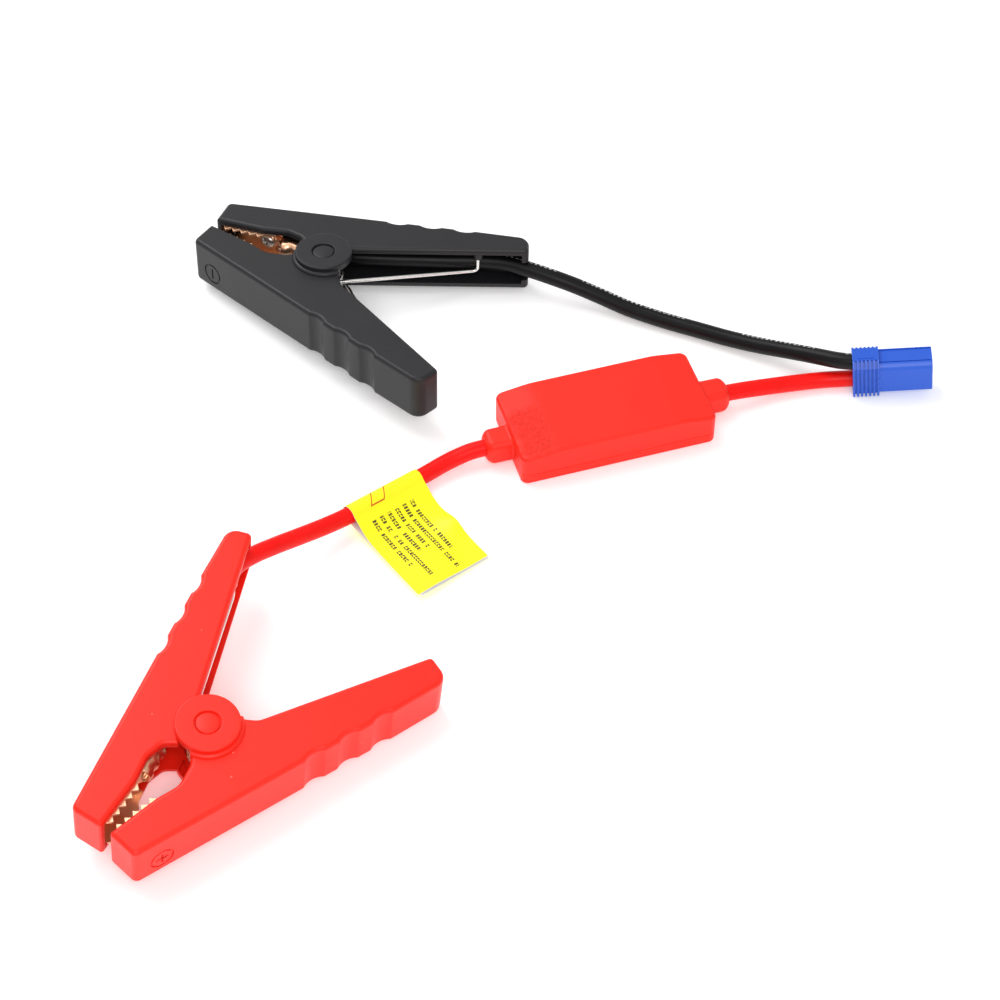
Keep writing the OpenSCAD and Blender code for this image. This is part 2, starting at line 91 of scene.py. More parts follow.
for lampName, (lampPlace, lampSize, lampPower) in studio["lamps"].items():
    softLight(lampName, lampPlace, lampSize, lampPower)
print("camera and light set")


# shader helpers

# a shader socket that can be used in sums
class Wire:

    def __init__(self, tree, socket):
        self.tree = tree
        self.socket = socket

    def math(self, operation, *values, clamp=False):
        node = self.tree.nodes.new("ShaderNodeMath")
        node.operation = operation
        node.use_clamp = clamp
        for slot, value in zip(node.inputs, values):
            feed(self.tree, slot, value)
        return Wire(self.tree, node.outputs[0])

    def __add__(self, other):
        return self.math("ADD", self, other)

    def __radd__(self, other):
        return self.math("ADD", other, self)

    def __sub__(self, other):
        return self.math("SUBTRACT", self, other)

    def __rsub__(self, other):
        return self.math("SUBTRACT", other, self)

    def __mul__(self, other):
        return self.math("MULTIPLY", self, other)

    def __rmul__(self, other):
        return self.math("MULTIPLY", other, self)

    def __truediv__(self, other):
        return self.math("DIVIDE", self, other)

    def __mod__(self, other):
        return self.math("FLOORED_MODULO", self, other)

    def __gt__(self, other):
        return self.math("GREATER_THAN", self, other)

    def __lt__(self, other):
        return self.math("LESS_THAN", self, other)

    def __abs__(self):
        return self.math("ABSOLUTE", self)

    def floor(self):
        return self.math("FLOOR", self)

    def clamped(self):
        return self.math("ADD", self, 0.0, clamp=True)


def feed(tree, slot, value):
    if isinstance(value, Wire):
        tree.links.new(value.socket, slot)
    elif hasattr(slot, "default_value") and slot.type == "RGBA" and len(value) == 3:
        slot.default_value = (*value, 1)
    else:
        slot.default_value = value


# one material and its nodes
class Finish:

    def __init__(self, name, **fixed):
        self.material = bpy.data.materials.new(name)
        self.material.use_nodes = True
        self.tree = self.material.node_tree
        self.shader = self.tree.nodes["Principled BSDF"]
        for key, value in fixed.items():
            self.set(key, value)

    def set(self, key, value):
        words = {"baseColor": "Base Color", "specular": "Specular IOR Level", "coat": "Coat Weight",
                 "emission": "Emission Color", "emissionStrength": "Emission Strength"}
        feed(self.tree, self.shader.inputs[words.get(key, key[0].upper() + key[1:])], value)

    def node(self, kind, settings=None, sockets=None, out=0):
        made = self.tree.nodes.new("ShaderNode" + kind)
        for key, value in (settings or {}).items():
            if key == "stops":
                for i, (at, colour) in enumerate(value):
                    stop = made.color_ramp.elements[i] if i < 2 else made.color_ramp.elements.new(at)
                    stop.position = at
                    stop.color = (*colour, 1) if len(colour) == 3 else colour
            else:
                setattr(made, key, value)
        for key, value in (sockets or {}).items():
            feed(self.tree, made.inputs[key], value)
        return Wire(self.tree, made.outputs[out])

    def place(self):
        return self.node("TexCoord", out="Object")

    def uv(self):
        return self.node("TexCoord", out="UV")

    def split(self, vector):
        made = self.tree.nodes.new("ShaderNodeSeparateXYZ")
        feed(self.tree, made.inputs[0], vector)
        return [Wire(self.tree, o) for o in made.outputs]

    def noise(self, vector, scale, detail=3, roughness=0.5):
        return self.node("TexNoise", None,
                         {"Vector": vector, "Scale": scale, "Detail": detail, "Roughness": roughness})

    def stretched(self, vector, scale, turn=(0, 0, 0), centre=(0, 0, 0)):
        return self.node("Mapping", {"vector_type": "TEXTURE"},
                         {"Vector": vector, "Location": centre, "Rotation": turn,
                                                                  "Scale": scale})

    def blend(self, factor, first, second):
        made = self.tree.nodes.new("ShaderNodeMix")
        made.data_type = "RGBA"
        feed(self.tree, made.inputs["Factor"], factor)
        colours = [s for s in made.inputs if s.type == "RGBA"]
        feed(self.tree, colours[0], first)
        feed(self.tree, colours[1], second)
        return Wire(self.tree, [s for s in made.outputs if s.type == "RGBA"][0])

    def bump(self, height, distance, strength=1.0, below=None):
        sockets = {"Height": height, "Distance": distance, "Strength": strength}
        if below is not None:
            sockets["Normal"] = below
        return self.node("Bump", None, sockets)


# 0 below low, 1 above high
def ramp(value, low, high):
    return ((value - low) / (high - low)).clamped()


# finishes

def mouldedPlastic(name, colour, roughness=0.46, specks=0.0, speckColour=(1, 1, 1), grain=0.00006):
    finish = Finish(name, specular=0.33)
    place = finish.place()
    broad = finish.noise(place, 55, 3)
    fine = finish.noise(place, 5200, 2)
    marks = finish.noise(finish.stretched(place, (6, 1, 3), turn=(0.2, 0.4, 0.6)), 900, 4, 0.7)
    dark = tuple(c * 0.93 for c in colour)
    light = tuple(min(c * 1.05 + 0.002, 1) for c in colour)
    tone = finish.blend(broad, dark, light)
    dots = finish.node("TexVoronoi", {"feature": "F1"}, {"Vector": place, "Scale": 260.0}, out="Distance")
    chosen = finish.node("TexVoronoi", {"feature": "F1"}, {"Vector": place, "Scale": 260.0}, out="Color")
    lucky = finish.split(chosen)[0] > 0.955
    speck = (dots < 0.1) * lucky * specks
    finish.set("baseColor", finish.blend(speck, tone, speckColour))
    finish.set("roughness", roughness + (broad - 0.5) * 0.12 + (marks - 0.5) * 0.1)
    finish.set("normal", finish.bump(fine + ramp(marks, 0.62, 0.75) * 0.3, grain, 0.6))
    return finish.material


# moulded plastic with a patch of fine crinkled cells on its top, the pits of the cells darkened in colour
# with painted shade
def crinkledPlastic(name, colour, centre, turn, halfSize):
    finish = Finish(name, specular=0.30)
    place = finish.place()
    local = finish.stretched(place, (1, 1, 1), turn=(0, 0, turn), centre=centre)
    x, y, z = finish.split(local)
    edge = finish.noise(place, 300, 3)
    patchX = 1 - ramp(abs(x) - halfSize[0] + (edge - 0.5) * 0.006, 0.0, 0.004)
    patchY = 1 - ramp(abs(y) - halfSize[1] + (edge - 0.5) * 0.006, 0.0, 0.004)
    patch = patchX * patchY * ramp(z, 0.012, 0.0135)
    cells = finish.node("TexVoronoi", {"feature": "DISTANCE_TO_EDGE"},
                        {"Vector": finish.stretched(local, (1, 1, 1)), "Scale": 950.0, "Randomness": 1.0},
                        out="Distance")
    pits = 1 - ramp(cells, 0.02, 0.3)
    patchyMask = finish.noise(local, 700, 3, 0.7)
    broad = finish.noise(place, 50, 3)
    fine = finish.noise(place, 4200, 2)
    dark = tuple(c * 0.94 for c in colour)
    light = tuple(min(c * 1.05 + 0.002, 1) for c in colour)
    tone = finish.blend(broad, dark, light)
    # painted shade: the pits of the cells are darkened towards half the plastic's colour, in patches
    deep = tuple(c * 0.5 for c in colour)
    finish.set("baseColor", finish.blend(patch * pits * ramp(patchyMask, 0.4, 0.62) * 0.55, tone, deep))
    finish.set("roughness", 0.44 + (broad - 0.5) * 0.12 + patch * 0.1)
    rough = finish.bump(patch * pits * patchyMask, 0.0003, 0.9)
    finish.set("normal", finish.bump(fine, 0.00006, 0.6, below=rough))
    return finish.material


# soft PVC, with faint drawn lines along it. Its map holds metres along and turns around
def cableJacket(name, colour, printed=None):
    finish = Finish(name, specular=0.20)
    along, around, none = finish.split(finish.uv())
    streakPlace = finish.node("CombineXYZ", None, {"X": along * 30.0, "Y": around * 40.0, "Z": 0.0})
    streaks = finish.noise(streakPlace, 1.0, 4, 0.6)
    place = finish.place()
    broad = finish.noise(place, 90, 3)
    fine = finish.noise(place, 3600, 2)
    tone = finish.blend(broad, tuple(c * 0.9 for c in colour),
                        tuple(min(c * 1.08 + 0.002, 1) for c in colour))
    if printed:
        pitch, width = printed["pitch"], printed["height"]
        cell = (along / pitch).floor()
        inCell = along % pitch
        pick = finish.node("TexWhiteNoise", {"noise_dimensions": "1D"}, {"W": cell}, out="Value")
        letter = (inCell > pitch * 0.18) * (inCell < pitch * (0.55 + pick * 0.35))
        bandAt = abs(around - printed["turn"])
        band = bandAt < width
        groups = (along % printed["group"]) < printed["group"] * 0.8
        words = finish.node("TexWhiteNoise", {"noise_dimensions": "1D"}, {"W": (along / (pitch * 7)).floor()},
                            out="Value")
        hollow = 1 - (bandAt < width * 0.45) * (pick > 0.45)
        # the print is rubbed off in patches
        patchyMask = ramp(finish.noise(place, 2600, 3, 0.7), 0.36, 0.5)
        ink = letter * band * groups * (words > 0.12) * hollow * patchyMask * 0.75
        tone = finish.blend(ink, tone, printed["ink"])
    finish.set("baseColor", tone)
    finish.set("roughness", 0.36 + (streaks - 0.5) * 0.2 + (broad - 0.5) * 0.1)
    lines = finish.bump(streaks, 0.00012, 0.5)
    finish.set("normal", finish.bump(fine, 0.00004, 0.5, below=lines))
    return finish.material


def drawnMetal(name, colour, deep, roughness=0.24, scale=(1, 1, 14), grain=900, stain=0.35):
    finish = Finish(name, metallic=1.0)
    place = finish.place()
    lines = finish.noise(finish.stretched(place, scale, turn=(0.3, 0.2, 0.5)), grain * 4, 3, 0.6)
    cloud = finish.noise(place, 240, 4, 0.65)
    finish.set("baseColor", finish.blend(ramp(cloud, 0.42, 0.72) * stain, colour, deep))
    finish.set("roughness", roughness + (lines - 0.5) * 0.16 + ramp(cloud, 0.5, 0.8) * 0.12)
    finish.set("normal", finish.bump(lines, 0.00003, 0.7))
    return finish.material


# yellow on the printed side with generic marks; its map runs 0 to 1 along and across the strip
def printedCard(name, spec):
    finish = Finish(name, specular=0.4)
    along, across, none = finish.split(finish.uv())
    place = finish.place()
    fibre = finish.noise(place, 1500, 4, 0.7)
    broad = finish.noise(place, 60, 3)
    tone = finish.blend(broad, spec["yellowDeep"], spec["yellow"])
    # marks: rows of short bars that run along the leaf
    row = (across - spec["rowStart"]) / spec["rowPitch"]
    rowIndex = row.floor()
    inRow = row - rowIndex
    lineBand = (inRow > 0.27) * (inRow < 0.75) * (rowIndex > -0.5) * (rowIndex < spec["rows"] - 0.5)
    rowPick = finish.node("TexWhiteNoise", {"noise_dimensions": "1D"}, {"W": rowIndex}, out="Value")
    head = spec["textFrom"]
    tail = spec["textTo"] - rowPick * 0.16
    step = (along - head + rowIndex * 0.0037) / spec["letterPitch"]
    letterIndex = step.floor()
    inLetter = step - letterIndex
    seed = letterIndex + rowIndex * 57.0
    letterPick = finish.node("TexWhiteNoise", {"noise_dimensions": "1D"}, {"W": seed}, out="Value")
    stroke = (inLetter > 0.1) * (inLetter < 0.74 + letterPick * 0.2) * (letterPick > 0.13)
    hollow = 1 - (abs(inRow - 0.5) < 0.05 + letterPick * 0.04) * (letterPick > 0.62) * (inLetter > 0.35)
    bars = lineBand * stroke * hollow * (along > head) * (along < tail)
    # a plain open box beside the rows
    v = (along - spec["boxAt"][0]) / spec["boxSize"][0]
    u = (across - spec["boxAt"][1] + v * spec["boxLean"]) / spec["boxSize"][1]
    outside = (abs(u) < 0.3) * (v > 0.0) * (v < 0.9)
    inside = (abs(u) < 0.25) * (v > 0.07) * (v < 0.82)
    openBox = outside * (1 - inside)
    ink = ramp(finish.noise(place, 2400, 3), 0.3, 0.42)
    tone = finish.blend(bars * ink * 0.96, tone, spec["inkDark"])
    tone = finish.blend(openBox * 0.9, tone, spec["inkOrange"])
    finish.set("baseColor", tone)
    finish.set("roughness", 0.42 + (fibre - 0.5) * 0.14)
    finish.set("normal", finish.bump(fibre, 0.00005, 0.5))
    return finish.material


def plainCard(name, colour):
    finish = Finish(name, specular=0.35)
    place = finish.place()
    fibre = finish.noise(place, 1400, 4, 0.7)
    flecks = finish.noise(place, 420, 4, 0.7)
    finish.set("baseColor",
               finish.blend(ramp(flecks, 0.5, 0.85) * 0.5, colour, tuple(c * 0.82 for c in colour)))
    finish.set("roughness", 0.6 + (fibre - 0.5) * 0.2)
    finish.set("normal", finish.bump(fibre, 0.00008, 0.6))
    return finish.material


def boardLacquer(name):
    finish = Finish(name, specular=0.5, coat=0.3)
    place = finish.place()
    x, y, z = finish.split(place)
    tracks = finish.node("TexBrick", {"offset": 0.5}, {"Vector": place, "Scale": 260.0, "Mortar Size": 0.03},
                         out="Fac")
    broad = finish.noise(place, 120, 3)
    finish.set("baseColor", finish.blend(tracks * 0.6 + broad * 0.2, (0.015, 0.16, 0.06), (0.05, 0.3, 0.12)))
    finish.set("roughness", 0.3 + broad * 0.15)
    finish.set("normal", finish.bump(tracks, 0.00004, 0.6))
    return finish.material


colours = {
    "redPlastic": (0.92, 0.017, 0.005),
    "blackPlastic": (0.013, 0.013, 0.015),
    "redJacket": (0.88, 0.004, 0.002),
    "blackJacket": (0.003, 0.003, 0.004),
    "plugBlue": (0.022, 0.105, 0.60),
    "copper": (0.97, 0.58, 0.37),
    "copperDeep": (0.62, 0.22, 0.09),
    "steel": (0.80, 0.79, 0.77),
    "steelDeep": (0.52, 0.50, 0.48),
}

redPlastic = mouldedPlastic("redMouldedPlastic", colours["redPlastic"], 0.36, 0.3, (0.98, 0.5, 0.42))
blackPlastic = mouldedPlastic("blackMouldedPlastic", colours["blackPlastic"], 0.4, 0.2, (0.2, 0.2, 0.2))
redJacket = cableJacket("redCableJacket", colours["redJacket"])
blackJacket = cableJacket("blackCableJacket", colours["blackJacket"],
                          {"pitch": 0.0022, "height": 0.045, "turn": 0.325, "group": 0.062,
                           "ink": (0.8, 0.8, 0.8)})
bluePlastic = mouldedPlastic("bluePlugNylon", colours["plugBlue"], 0.3, 0.5, (0.5, 0.6, 0.95), 0.00004)
copperSheet = drawnMetal("copperPlatedSheet", colours["copper"], colours["copperDeep"], 0.32, (1, 1, 8), 700,
                         0.25)
brightCopper = drawnMetal("tinnedCopper", (0.95, 0.72, 0.55), colours["copper"], 0.2, (1, 1, 8), 700, 0.5)
springSteel = drawnMetal("springSteel", colours["steel"], colours["steelDeep"], 0.2, (1, 1, 10), 800, 0.25)
screwSteel = drawnMetal("screwSteel", (0.66, 0.65, 0.63), (0.4, 0.38, 0.36), 0.3, (1, 1, 4), 500, 0.4)
goldPlate = drawnMetal("goldPlate", (0.95, 0.72, 0.32), (0.8, 0.5, 0.2), 0.18, (1, 1, 6), 700, 0.3)
boardGreen = boardLacquer("boardLacquer")
chipBlack = mouldedPlastic("chipResin", (0.02, 0.02, 0.021), 0.5)
canMetal = drawnMetal("canAluminium", (0.8, 0.8, 0.81), (0.6, 0.6, 0.62), 0.3, (1, 1, 6), 500, 0.3)
whiteCard = plainCard("whiteCard", (0.86, 0.85, 0.82))
print("finishes made")


# shape helpers

# the outline, pulled in by inset. A corner is (x, y, radius); a negative radius marks a fixed point
def insetOutline(corners, inset, steps=8):
    count = len(corners)
    spots = [Vector(c[:2]) for c in corners]
    moved = []
    for i, (x, y, r) in enumerate(corners):
        if r < 0:
            moved.append(spots[i].copy())
            continue
        into = (spots[i] - spots[i - 1]).normalized()
        away = (spots[(i + 1) % count] - spots[i]).normalized()
        n1, n2 = Vector((-into.y, into.x)), Vector((-away.y, away.x))
        moved.append(spots[i] + (n1 + n2) / (1 + n1.dot(n2)) * inset)
    ring = []
    for i, (x, y, r) in enumerate(corners):
        if r <= 0:
            ring.append(moved[i])
            continue
        before, after = moved[i - 1], moved[(i + 1) % count]
        a, b = (before - moved[i]).normalized(), (after - moved[i]).normalized()
        turn = a.x * -b.y + a.y * b.x    # above 0 at a corner that bulges out
        radius = r - inset if turn > 0 else r + inset
        radius = max(radius, 0.02)
        half = a.angle(b) / 2
        middle = moved[i] + (a + b).normalized() * radius / math.sin(half)
        start = moved[i] + a * radius / math.tan(half) - middle
        sweep = math.pi - 2 * half
        sweep = sweep if turn > 0 else -sweep
        for k in range(steps + 1):
            ring.append(middle + Matrix.Rotation(sweep * k / steps, 2) @ start)
    return ring


# (inset, height) pairs for a plate with rounded top and bottom edges
def edgeRings(low, high, rounding, steps=5):
    quarter = [math.radians(90) * i / steps for i in range(steps + 1)]
    up = [(rounding * (1 - math.sin(t)), low + rounding * (1 - math.cos(t))) for t in quarter]
    down = [(rounding * (1 - math.sin(t)), high - rounding * (1 - math.cos(t))) for t in reversed(quarter)]
    return up + down


# solid through rings of 3-D points, each of the same count, with flat ends
def stackRings(rings, closed=True):
    made = bmesh.new()
    rows = [[made.verts.new(p) for p in ring] for ring in rings]
    count = len(rows[0])
    for lower, upper in zip(rows, rows[1:]):
        for k in range(count):
            quad = (lower[k], lower[(k + 1) % count], upper[(k + 1) % count], upper[k])
            made.faces.new(quad)
    if closed:
        made.faces.new(list(reversed(rows[0])))
        made.faces.new(rows[-1])
    bmesh.ops.remove_doubles(made, verts=made.verts, dist=0.003)
    bmesh.ops.recalc_face_normals(made, faces=made.faces)
    return made


def roundedPlate(outlineAt, low, high, rounding, steps=5):
    return stackRings([[(p.x, p.y, z) for p in outlineAt(inset)] for inset,
                       z in edgeRings(low, high, rounding, steps)])


def block(low, high, rounding=0.0):
    made = bmesh.new()
    bmesh.ops.create_cube(made, size=1)
    size = Vector(high) - Vector(low)
    middle = (Vector(high) + Vector(low)) / 2
    for v in made.verts:
        v.co = Vector(a * b for a, b in zip(v.co, size)) + middle
    if rounding > 0:
        bmesh.ops.bevel(made, geom=made.edges[:], offset=rounding, segments=3, profile=0.5, affect="EDGES",
                        clamp_overlap=True)
    return made


# solid of revolution about Z from a closed (radius, height) profile
def turned(profile, count=72, start=0.0):
    made = bmesh.new()
    rows = []
    for i in range(count):
        a = start + 2 * math.pi * i / count
        rows.append([made.verts.new((r * math.cos(a), r * math.sin(a), z)) for r, z in profile])
    size = len(profile)
    for i in range(count):
        here, there = rows[i], rows[(i + 1) % count]
        for k in range(size):
            j = (k + 1) % size
            if profile[k][0] < 1e-6 and profile[j][0] < 1e-6:
                continue
            made.faces.new((here[k], there[k], there[j], here[j]))
    bmesh.ops.remove_doubles(made, verts=made.verts, dist=1e-4)
    bmesh.ops.recalc_face_normals(made, faces=made.faces)
    return made


# closed profile of a disc or ring whose outer rims are rounded
def roundedRim(radius, low, high, rounding, steps=4, inner=0.0):
    points = [(inner, low)]
    for i in range(steps + 1):
        t = math.radians(90) * i / steps
        points.append((radius - rounding * (1 - math.sin(t)), low + rounding * (1 - math.cos(t))))
    for i in range(steps + 1):
        t = math.radians(90) * (1 - i / steps)
        points.append((radius - rounding * (1 - math.sin(t)), high - rounding * (1 - math.cos(t))))
    points.append((inner, high))
    return points


def joined(*parts):
    made = bmesh.new()
    for part in parts:
        mesh = bpy.data.meshes.new("part")
        part.to_mesh(mesh)
        part.free()
        made.from_mesh(mesh)
        bpy.data.meshes.remove(mesh)
    return made


def moved(part, matrix):
    bmesh.ops.transform(part, matrix=matrix, verts=part.verts)
    if matrix.determinant() < 0:
        bmesh.ops.reverse_faces(part, faces=part.faces)
    return part


def looseObject(name, part):
    mesh = bpy.data.meshes.new(name)
    part.to_mesh(mesh)
    part.free()
    obj = bpy.data.objects.new(name, mesh)
    scene.collection.objects.link(obj)
    return obj


def applyModifiers(obj):
    graph = bpy.context.evaluated_depsgraph_get()
    mesh = bpy.data.meshes.new_from_object(obj.evaluated_get(graph), preserve_all_data_layers=True,
                                           depsgraph=graph)
    obj.modifiers.clear()
    old = obj.data
    obj.data = mesh
    bpy.data.meshes.remove(old)


# the part with each cutter taken away, joined on or kept
def carved(part, cutters, operation="DIFFERENCE"):
    obj = looseObject("carving", part)
    tools = [looseObject("cutter", c) for c in cutters]
    for tool in tools:
        cut = obj.modifiers.new("cut", "BOOLEAN")
        cut.operation = operation
        cut.solver = "EXACT"
        cut.object = tool
    applyModifiers(obj)
    made = bmesh.new()
    made.from_mesh(obj.data)
    for used in [obj] + tools:
        bpy.data.objects.remove(used)
    bmesh.ops.remove_doubles(made, verts=made.verts, dist=1e-4)
    return made


def softened(part, width, angle=35, segments=2):
    obj = looseObject("softening", part)
    bevel = obj.modifiers.new("soften", "BEVEL")
    bevel.width = width
    bevel.segments = segments
    bevel.limit_method = "ANGLE"
    bevel.angle_limit = math.radians(angle)
    bevel.use_clamp_overlap = True
    applyModifiers(obj)
    made = bmesh.new()
    made.from_mesh(obj.data)
    bpy.data.objects.remove(obj)
    return made


# makes the piece in the row frame, smooth with flat faces kept flat, and hands it to its body
def finishPiece(name, part, place, material, body, replaced=(), sharp=38):
    obj = looseObject(name, part) if isinstance(part, bmesh.types.BMesh) else part
    obj.name = name
    obj.data.transform(place)
    if material is not None:
        obj.data.materials.clear()
        obj.data.materials.append(material)
    obj.data.shade_smooth()
    obj.data.set_sharp_from_angle(angle=math.radians(sharp))
    flat = obj.modifiers.new("flat", "WEIGHTED_NORMAL")
    flat.keep_sharp = True
    applyModifiers(obj)
    obj.data.name = name
    if replaced:
        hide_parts(*replaced)
    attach(obj, body)
    return obj


# points close together on one smooth line through the given ones
def smoothPath(points, step=2.0):
    points = [Vector(p) for p in points]
    ends = [points[0] * 2 - points[1]] + points + [points[-1] * 2 - points[-2]]
    made = []
    for a, b, c, d in zip(ends, ends[1:], ends[2:], ends[3:]):
        ta, tb, tc = (b - a).length ** 0.5, (c - b).length ** 0.5, (d - c).length ** 0.5
        m1 = ((b - a) / ta - (c - a) / (ta + tb) + (c - b) / tb) * tb
        m2 = ((c - b) / tb - (d - b) / (tb + tc) + (d - c) / tc) * tb
        n = max(1, round((c - b).length / step))
        for i in range(n):
            t = i / n
            made.append(b * (2 * t**3 - 3 * t**2 + 1) + m1 * (t**3 - 2 * t**2 + t)
                        + c * (-2 * t**3 + 3 * t**2) + m2 * (t**3 - t**2))
    made.append(points[-1])
    return made


def pathLength(path):
    return sum((b - a).length for a, b in zip(path, path[1:]))


# tube along a path, with a map of metres along it and turns around it
def tubeAlong(path, radius, sides=20, up=(0, 0, 1), radiusAt=None, capRound=0.0):
    made = bmesh.new()
    layer = made.loops.layers.uv.new("UVMap")
    last = len(path) - 1
    rows, lengths, run = [], [], 0.0
    for i, p in enumerate(path):
        ahead = (path[min(i + 1, last)] - path[max(i - 1, 0)]).normalized()
        if i == 0:
            side = ahead.cross(Vector(up)).normalized()
        else:
            run += (p - path[i - 1]).length
            side = (side - ahead * side.dot(ahead)).normalized()
        high = side.cross(ahead)
        r = radius if radiusAt is None else radiusAt(run, radius)
        rows.append([made.verts.new(p + side * r * math.cos(2 * math.pi * k / sides) + high * r
                                    * math.sin(2 * math.pi * k / sides))
                     for k in range(sides)])
        lengths.append(run * mm)
    for i in range(last):
        for k in range(sides):
            j = (k + 1) % sides
            face = made.faces.new((rows[i][k], rows[i + 1][k], rows[i + 1][j], rows[i][j]))
            spots = ((lengths[i], k / sides), (lengths[i + 1], k / sides), (lengths[i + 1], (k + 1) / sides),
                     (lengths[i], (k + 1) / sides))
            for loop, uv in zip(face.loops, spots):
                loop[layer].uv = uv
    made.faces.new(rows[0])
    made.faces.new(list(reversed(rows[-1])))
    if capRound > 0:
        rims = [e for e in made.edges if any(len(f.verts) == sides for f in e.link_faces)]
        bmesh.ops.bevel(made, geom=rims, offset=capRound, segments=3, profile=0.5, affect="EDGES")
    bmesh.ops.recalc_face_normals(made, faces=made.faces)
    return made


# Geometry Nodes: a row of one shape, made real and given its finish
def rowTree():
    tree = bpy.data.node_groups.new("rowOfShapes", "GeometryNodeTree")
    for name, kind in (("Shape", "Object"), ("Count", "Int"), ("Start", "Vector"), ("Step", "Vector"),
                       ("Wobble", "Float"),
                       ("Seed", "Int"), ("Finish", "Material")):
        tree.interface.new_socket(name, in_out="INPUT", socket_type="NodeSocket" + kind)
    tree.interface.new_socket("Geometry", in_out="OUTPUT", socket_type="NodeSocketGeometry")
    given = tree.nodes.new("NodeGroupInput")
    line = tree.nodes.new("GeometryNodeMeshLine")
    line.mode = "OFFSET"
    shape = tree.nodes.new("GeometryNodeObjectInfo")
    spread = tree.nodes.new("GeometryNodeInstanceOnPoints")
    chance = tree.nodes.new("FunctionNodeRandomValue")
    chance.data_type = "FLOAT_VECTOR"
    swing = tree.nodes.new("ShaderNodeVectorMath")
    swing.operation = "SCALE"
    real = tree.nodes.new("GeometryNodeRealizeInstances")
    coat = tree.nodes.new("GeometryNodeSetMaterial")
    result = tree.nodes.new("NodeGroupOutput")
    link = tree.links.new
    link(given.outputs["Count"], line.inputs["Count"])
    link(given.outputs["Start"], line.inputs["Start Location"])
    link(given.outputs["Step"], line.inputs["Offset"])
    link(given.outputs["Shape"], shape.inputs["Object"])
    chance.inputs[0].default_value = (-1, -1, -1)
    chance.inputs[1].default_value = (1, 1, 1)
    link(given.outputs["Seed"], chance.inputs["Seed"])
    link(chance.outputs[0], swing.inputs[0])
    link(given.outputs["Wobble"], swing.inputs["Scale"])
    link(swing.outputs[0], spread.inputs["Rotation"])
    link(line.outputs["Mesh"], spread.inputs["Points"])
    link(shape.outputs["Geometry"], spread.inputs["Instance"])
    link(spread.outputs["Instances"], real.inputs["Geometry"])
    link(real.outputs["Geometry"], coat.inputs["Geometry"])
    link(given.outputs["Finish"], coat.inputs["Material"])
    link(coat.outputs["Geometry"], result.inputs["Geometry"])
    return tree


# Geometry Nodes: strands laid in rings round a middle one, made real and given their finish
def bundleTree():
    tree = bpy.data.node_groups.new("strandBundle", "GeometryNodeTree")
    for name, kind in (("Strands", "Int"), ("Strand Radius", "Float"), ("Bundle Radius", "Float"),
                       ("Length", "Float"), ("Seed", "Int"),
                       ("Finish", "Material")):
        tree.interface.new_socket(name, in_out="INPUT", socket_type="NodeSocket" + kind)
    tree.interface.new_socket("Geometry", in_out="OUTPUT", socket_type="NodeSocketGeometry")
    link = tree.links.new

    def put(kind, settings=None, **links):
        node = tree.nodes.new(kind)
        for key, value in (settings or {}).items():
            setattr(node, key, value)
        for key, value in links.items():
            numbered = key[0] == "n" and key[1:].isdigit()
            slot = node.inputs[int(key[1:]) if numbered else key.replace("_", " ")]
            if isinstance(value, bpy.types.NodeSocket):
                link(value, slot)
            else:
                slot.default_value = value
        return node

    given = put("NodeGroupInput")
    points = put("GeometryNodeMeshLine", {"mode": "OFFSET"}, Count=given.outputs["Strands"], Offset=(0, 0, 0))
    index = put("GeometryNodeInputIndex")
    share = put("ShaderNodeMath", {"operation": "DIVIDE"}, n0=index.outputs[0], n1=given.outputs["Strands"])
    root = put("ShaderNodeMath", {"operation": "SQRT"}, n0=share.outputs[0])
    reach = put("ShaderNodeMath", {"operation": "MULTIPLY"}, n0=root.outputs[0],
                n1=given.outputs["Bundle Radius"])
    angle = put("ShaderNodeMath", {"operation": "MULTIPLY"}, n0=index.outputs[0], n1=2.39996)
    cosine = put("ShaderNodeMath", {"operation": "COSINE"}, n0=angle.outputs[0])
    sine = put("ShaderNodeMath", {"operation": "SINE"}, n0=angle.outputs[0])
    y = put("ShaderNodeMath", {"operation": "MULTIPLY"}, n0=reach.outputs[0], n1=cosine.outputs[0])
    z = put("ShaderNodeMath", {"operation": "MULTIPLY"}, n0=reach.outputs[0], n1=sine.outputs[0])
    chance = put("FunctionNodeRandomValue", {"data_type": "FLOAT"}, Seed=given.outputs["Seed"])
    jitter = put("ShaderNodeMath", {"operation": "MULTIPLY"}, n0=chance.outputs[1], n1=-0.7)
    spot = put("ShaderNodeCombineXYZ", X=jitter.outputs[0], Y=y.outputs[0], Z=z.outputs[0])
    placed = put("GeometryNodeSetPosition", Geometry=points.outputs["Mesh"], Position=spot.outputs[0])
    far = put("ShaderNodeCombineXYZ", X=given.outputs["Length"], Y=0.0, Z=0.0)
    line = put("GeometryNodeCurvePrimitiveLine", Start=(0, 0, 0), End=far.outputs[0])
    circle = put("GeometryNodeCurvePrimitiveCircle", {"mode": "RADIUS"}, Resolution=8,
                 Radius=given.outputs["Strand Radius"])
    wire = put("GeometryNodeCurveToMesh", Curve=line.outputs[0], Profile_Curve=circle.outputs["Curve"],
               Fill_Caps=True)
    copies = put("GeometryNodeInstanceOnPoints", Points=placed.outputs[0], Instance=wire.outputs[0])
    real = put("GeometryNodeRealizeInstances", Geometry=copies.outputs[0])
    coat = put("GeometryNodeSetMaterial", Geometry=real.outputs[0], Material=given.outputs["Finish"])
    put("NodeGroupOutput", Geometry=coat.outputs[0])
    return tree


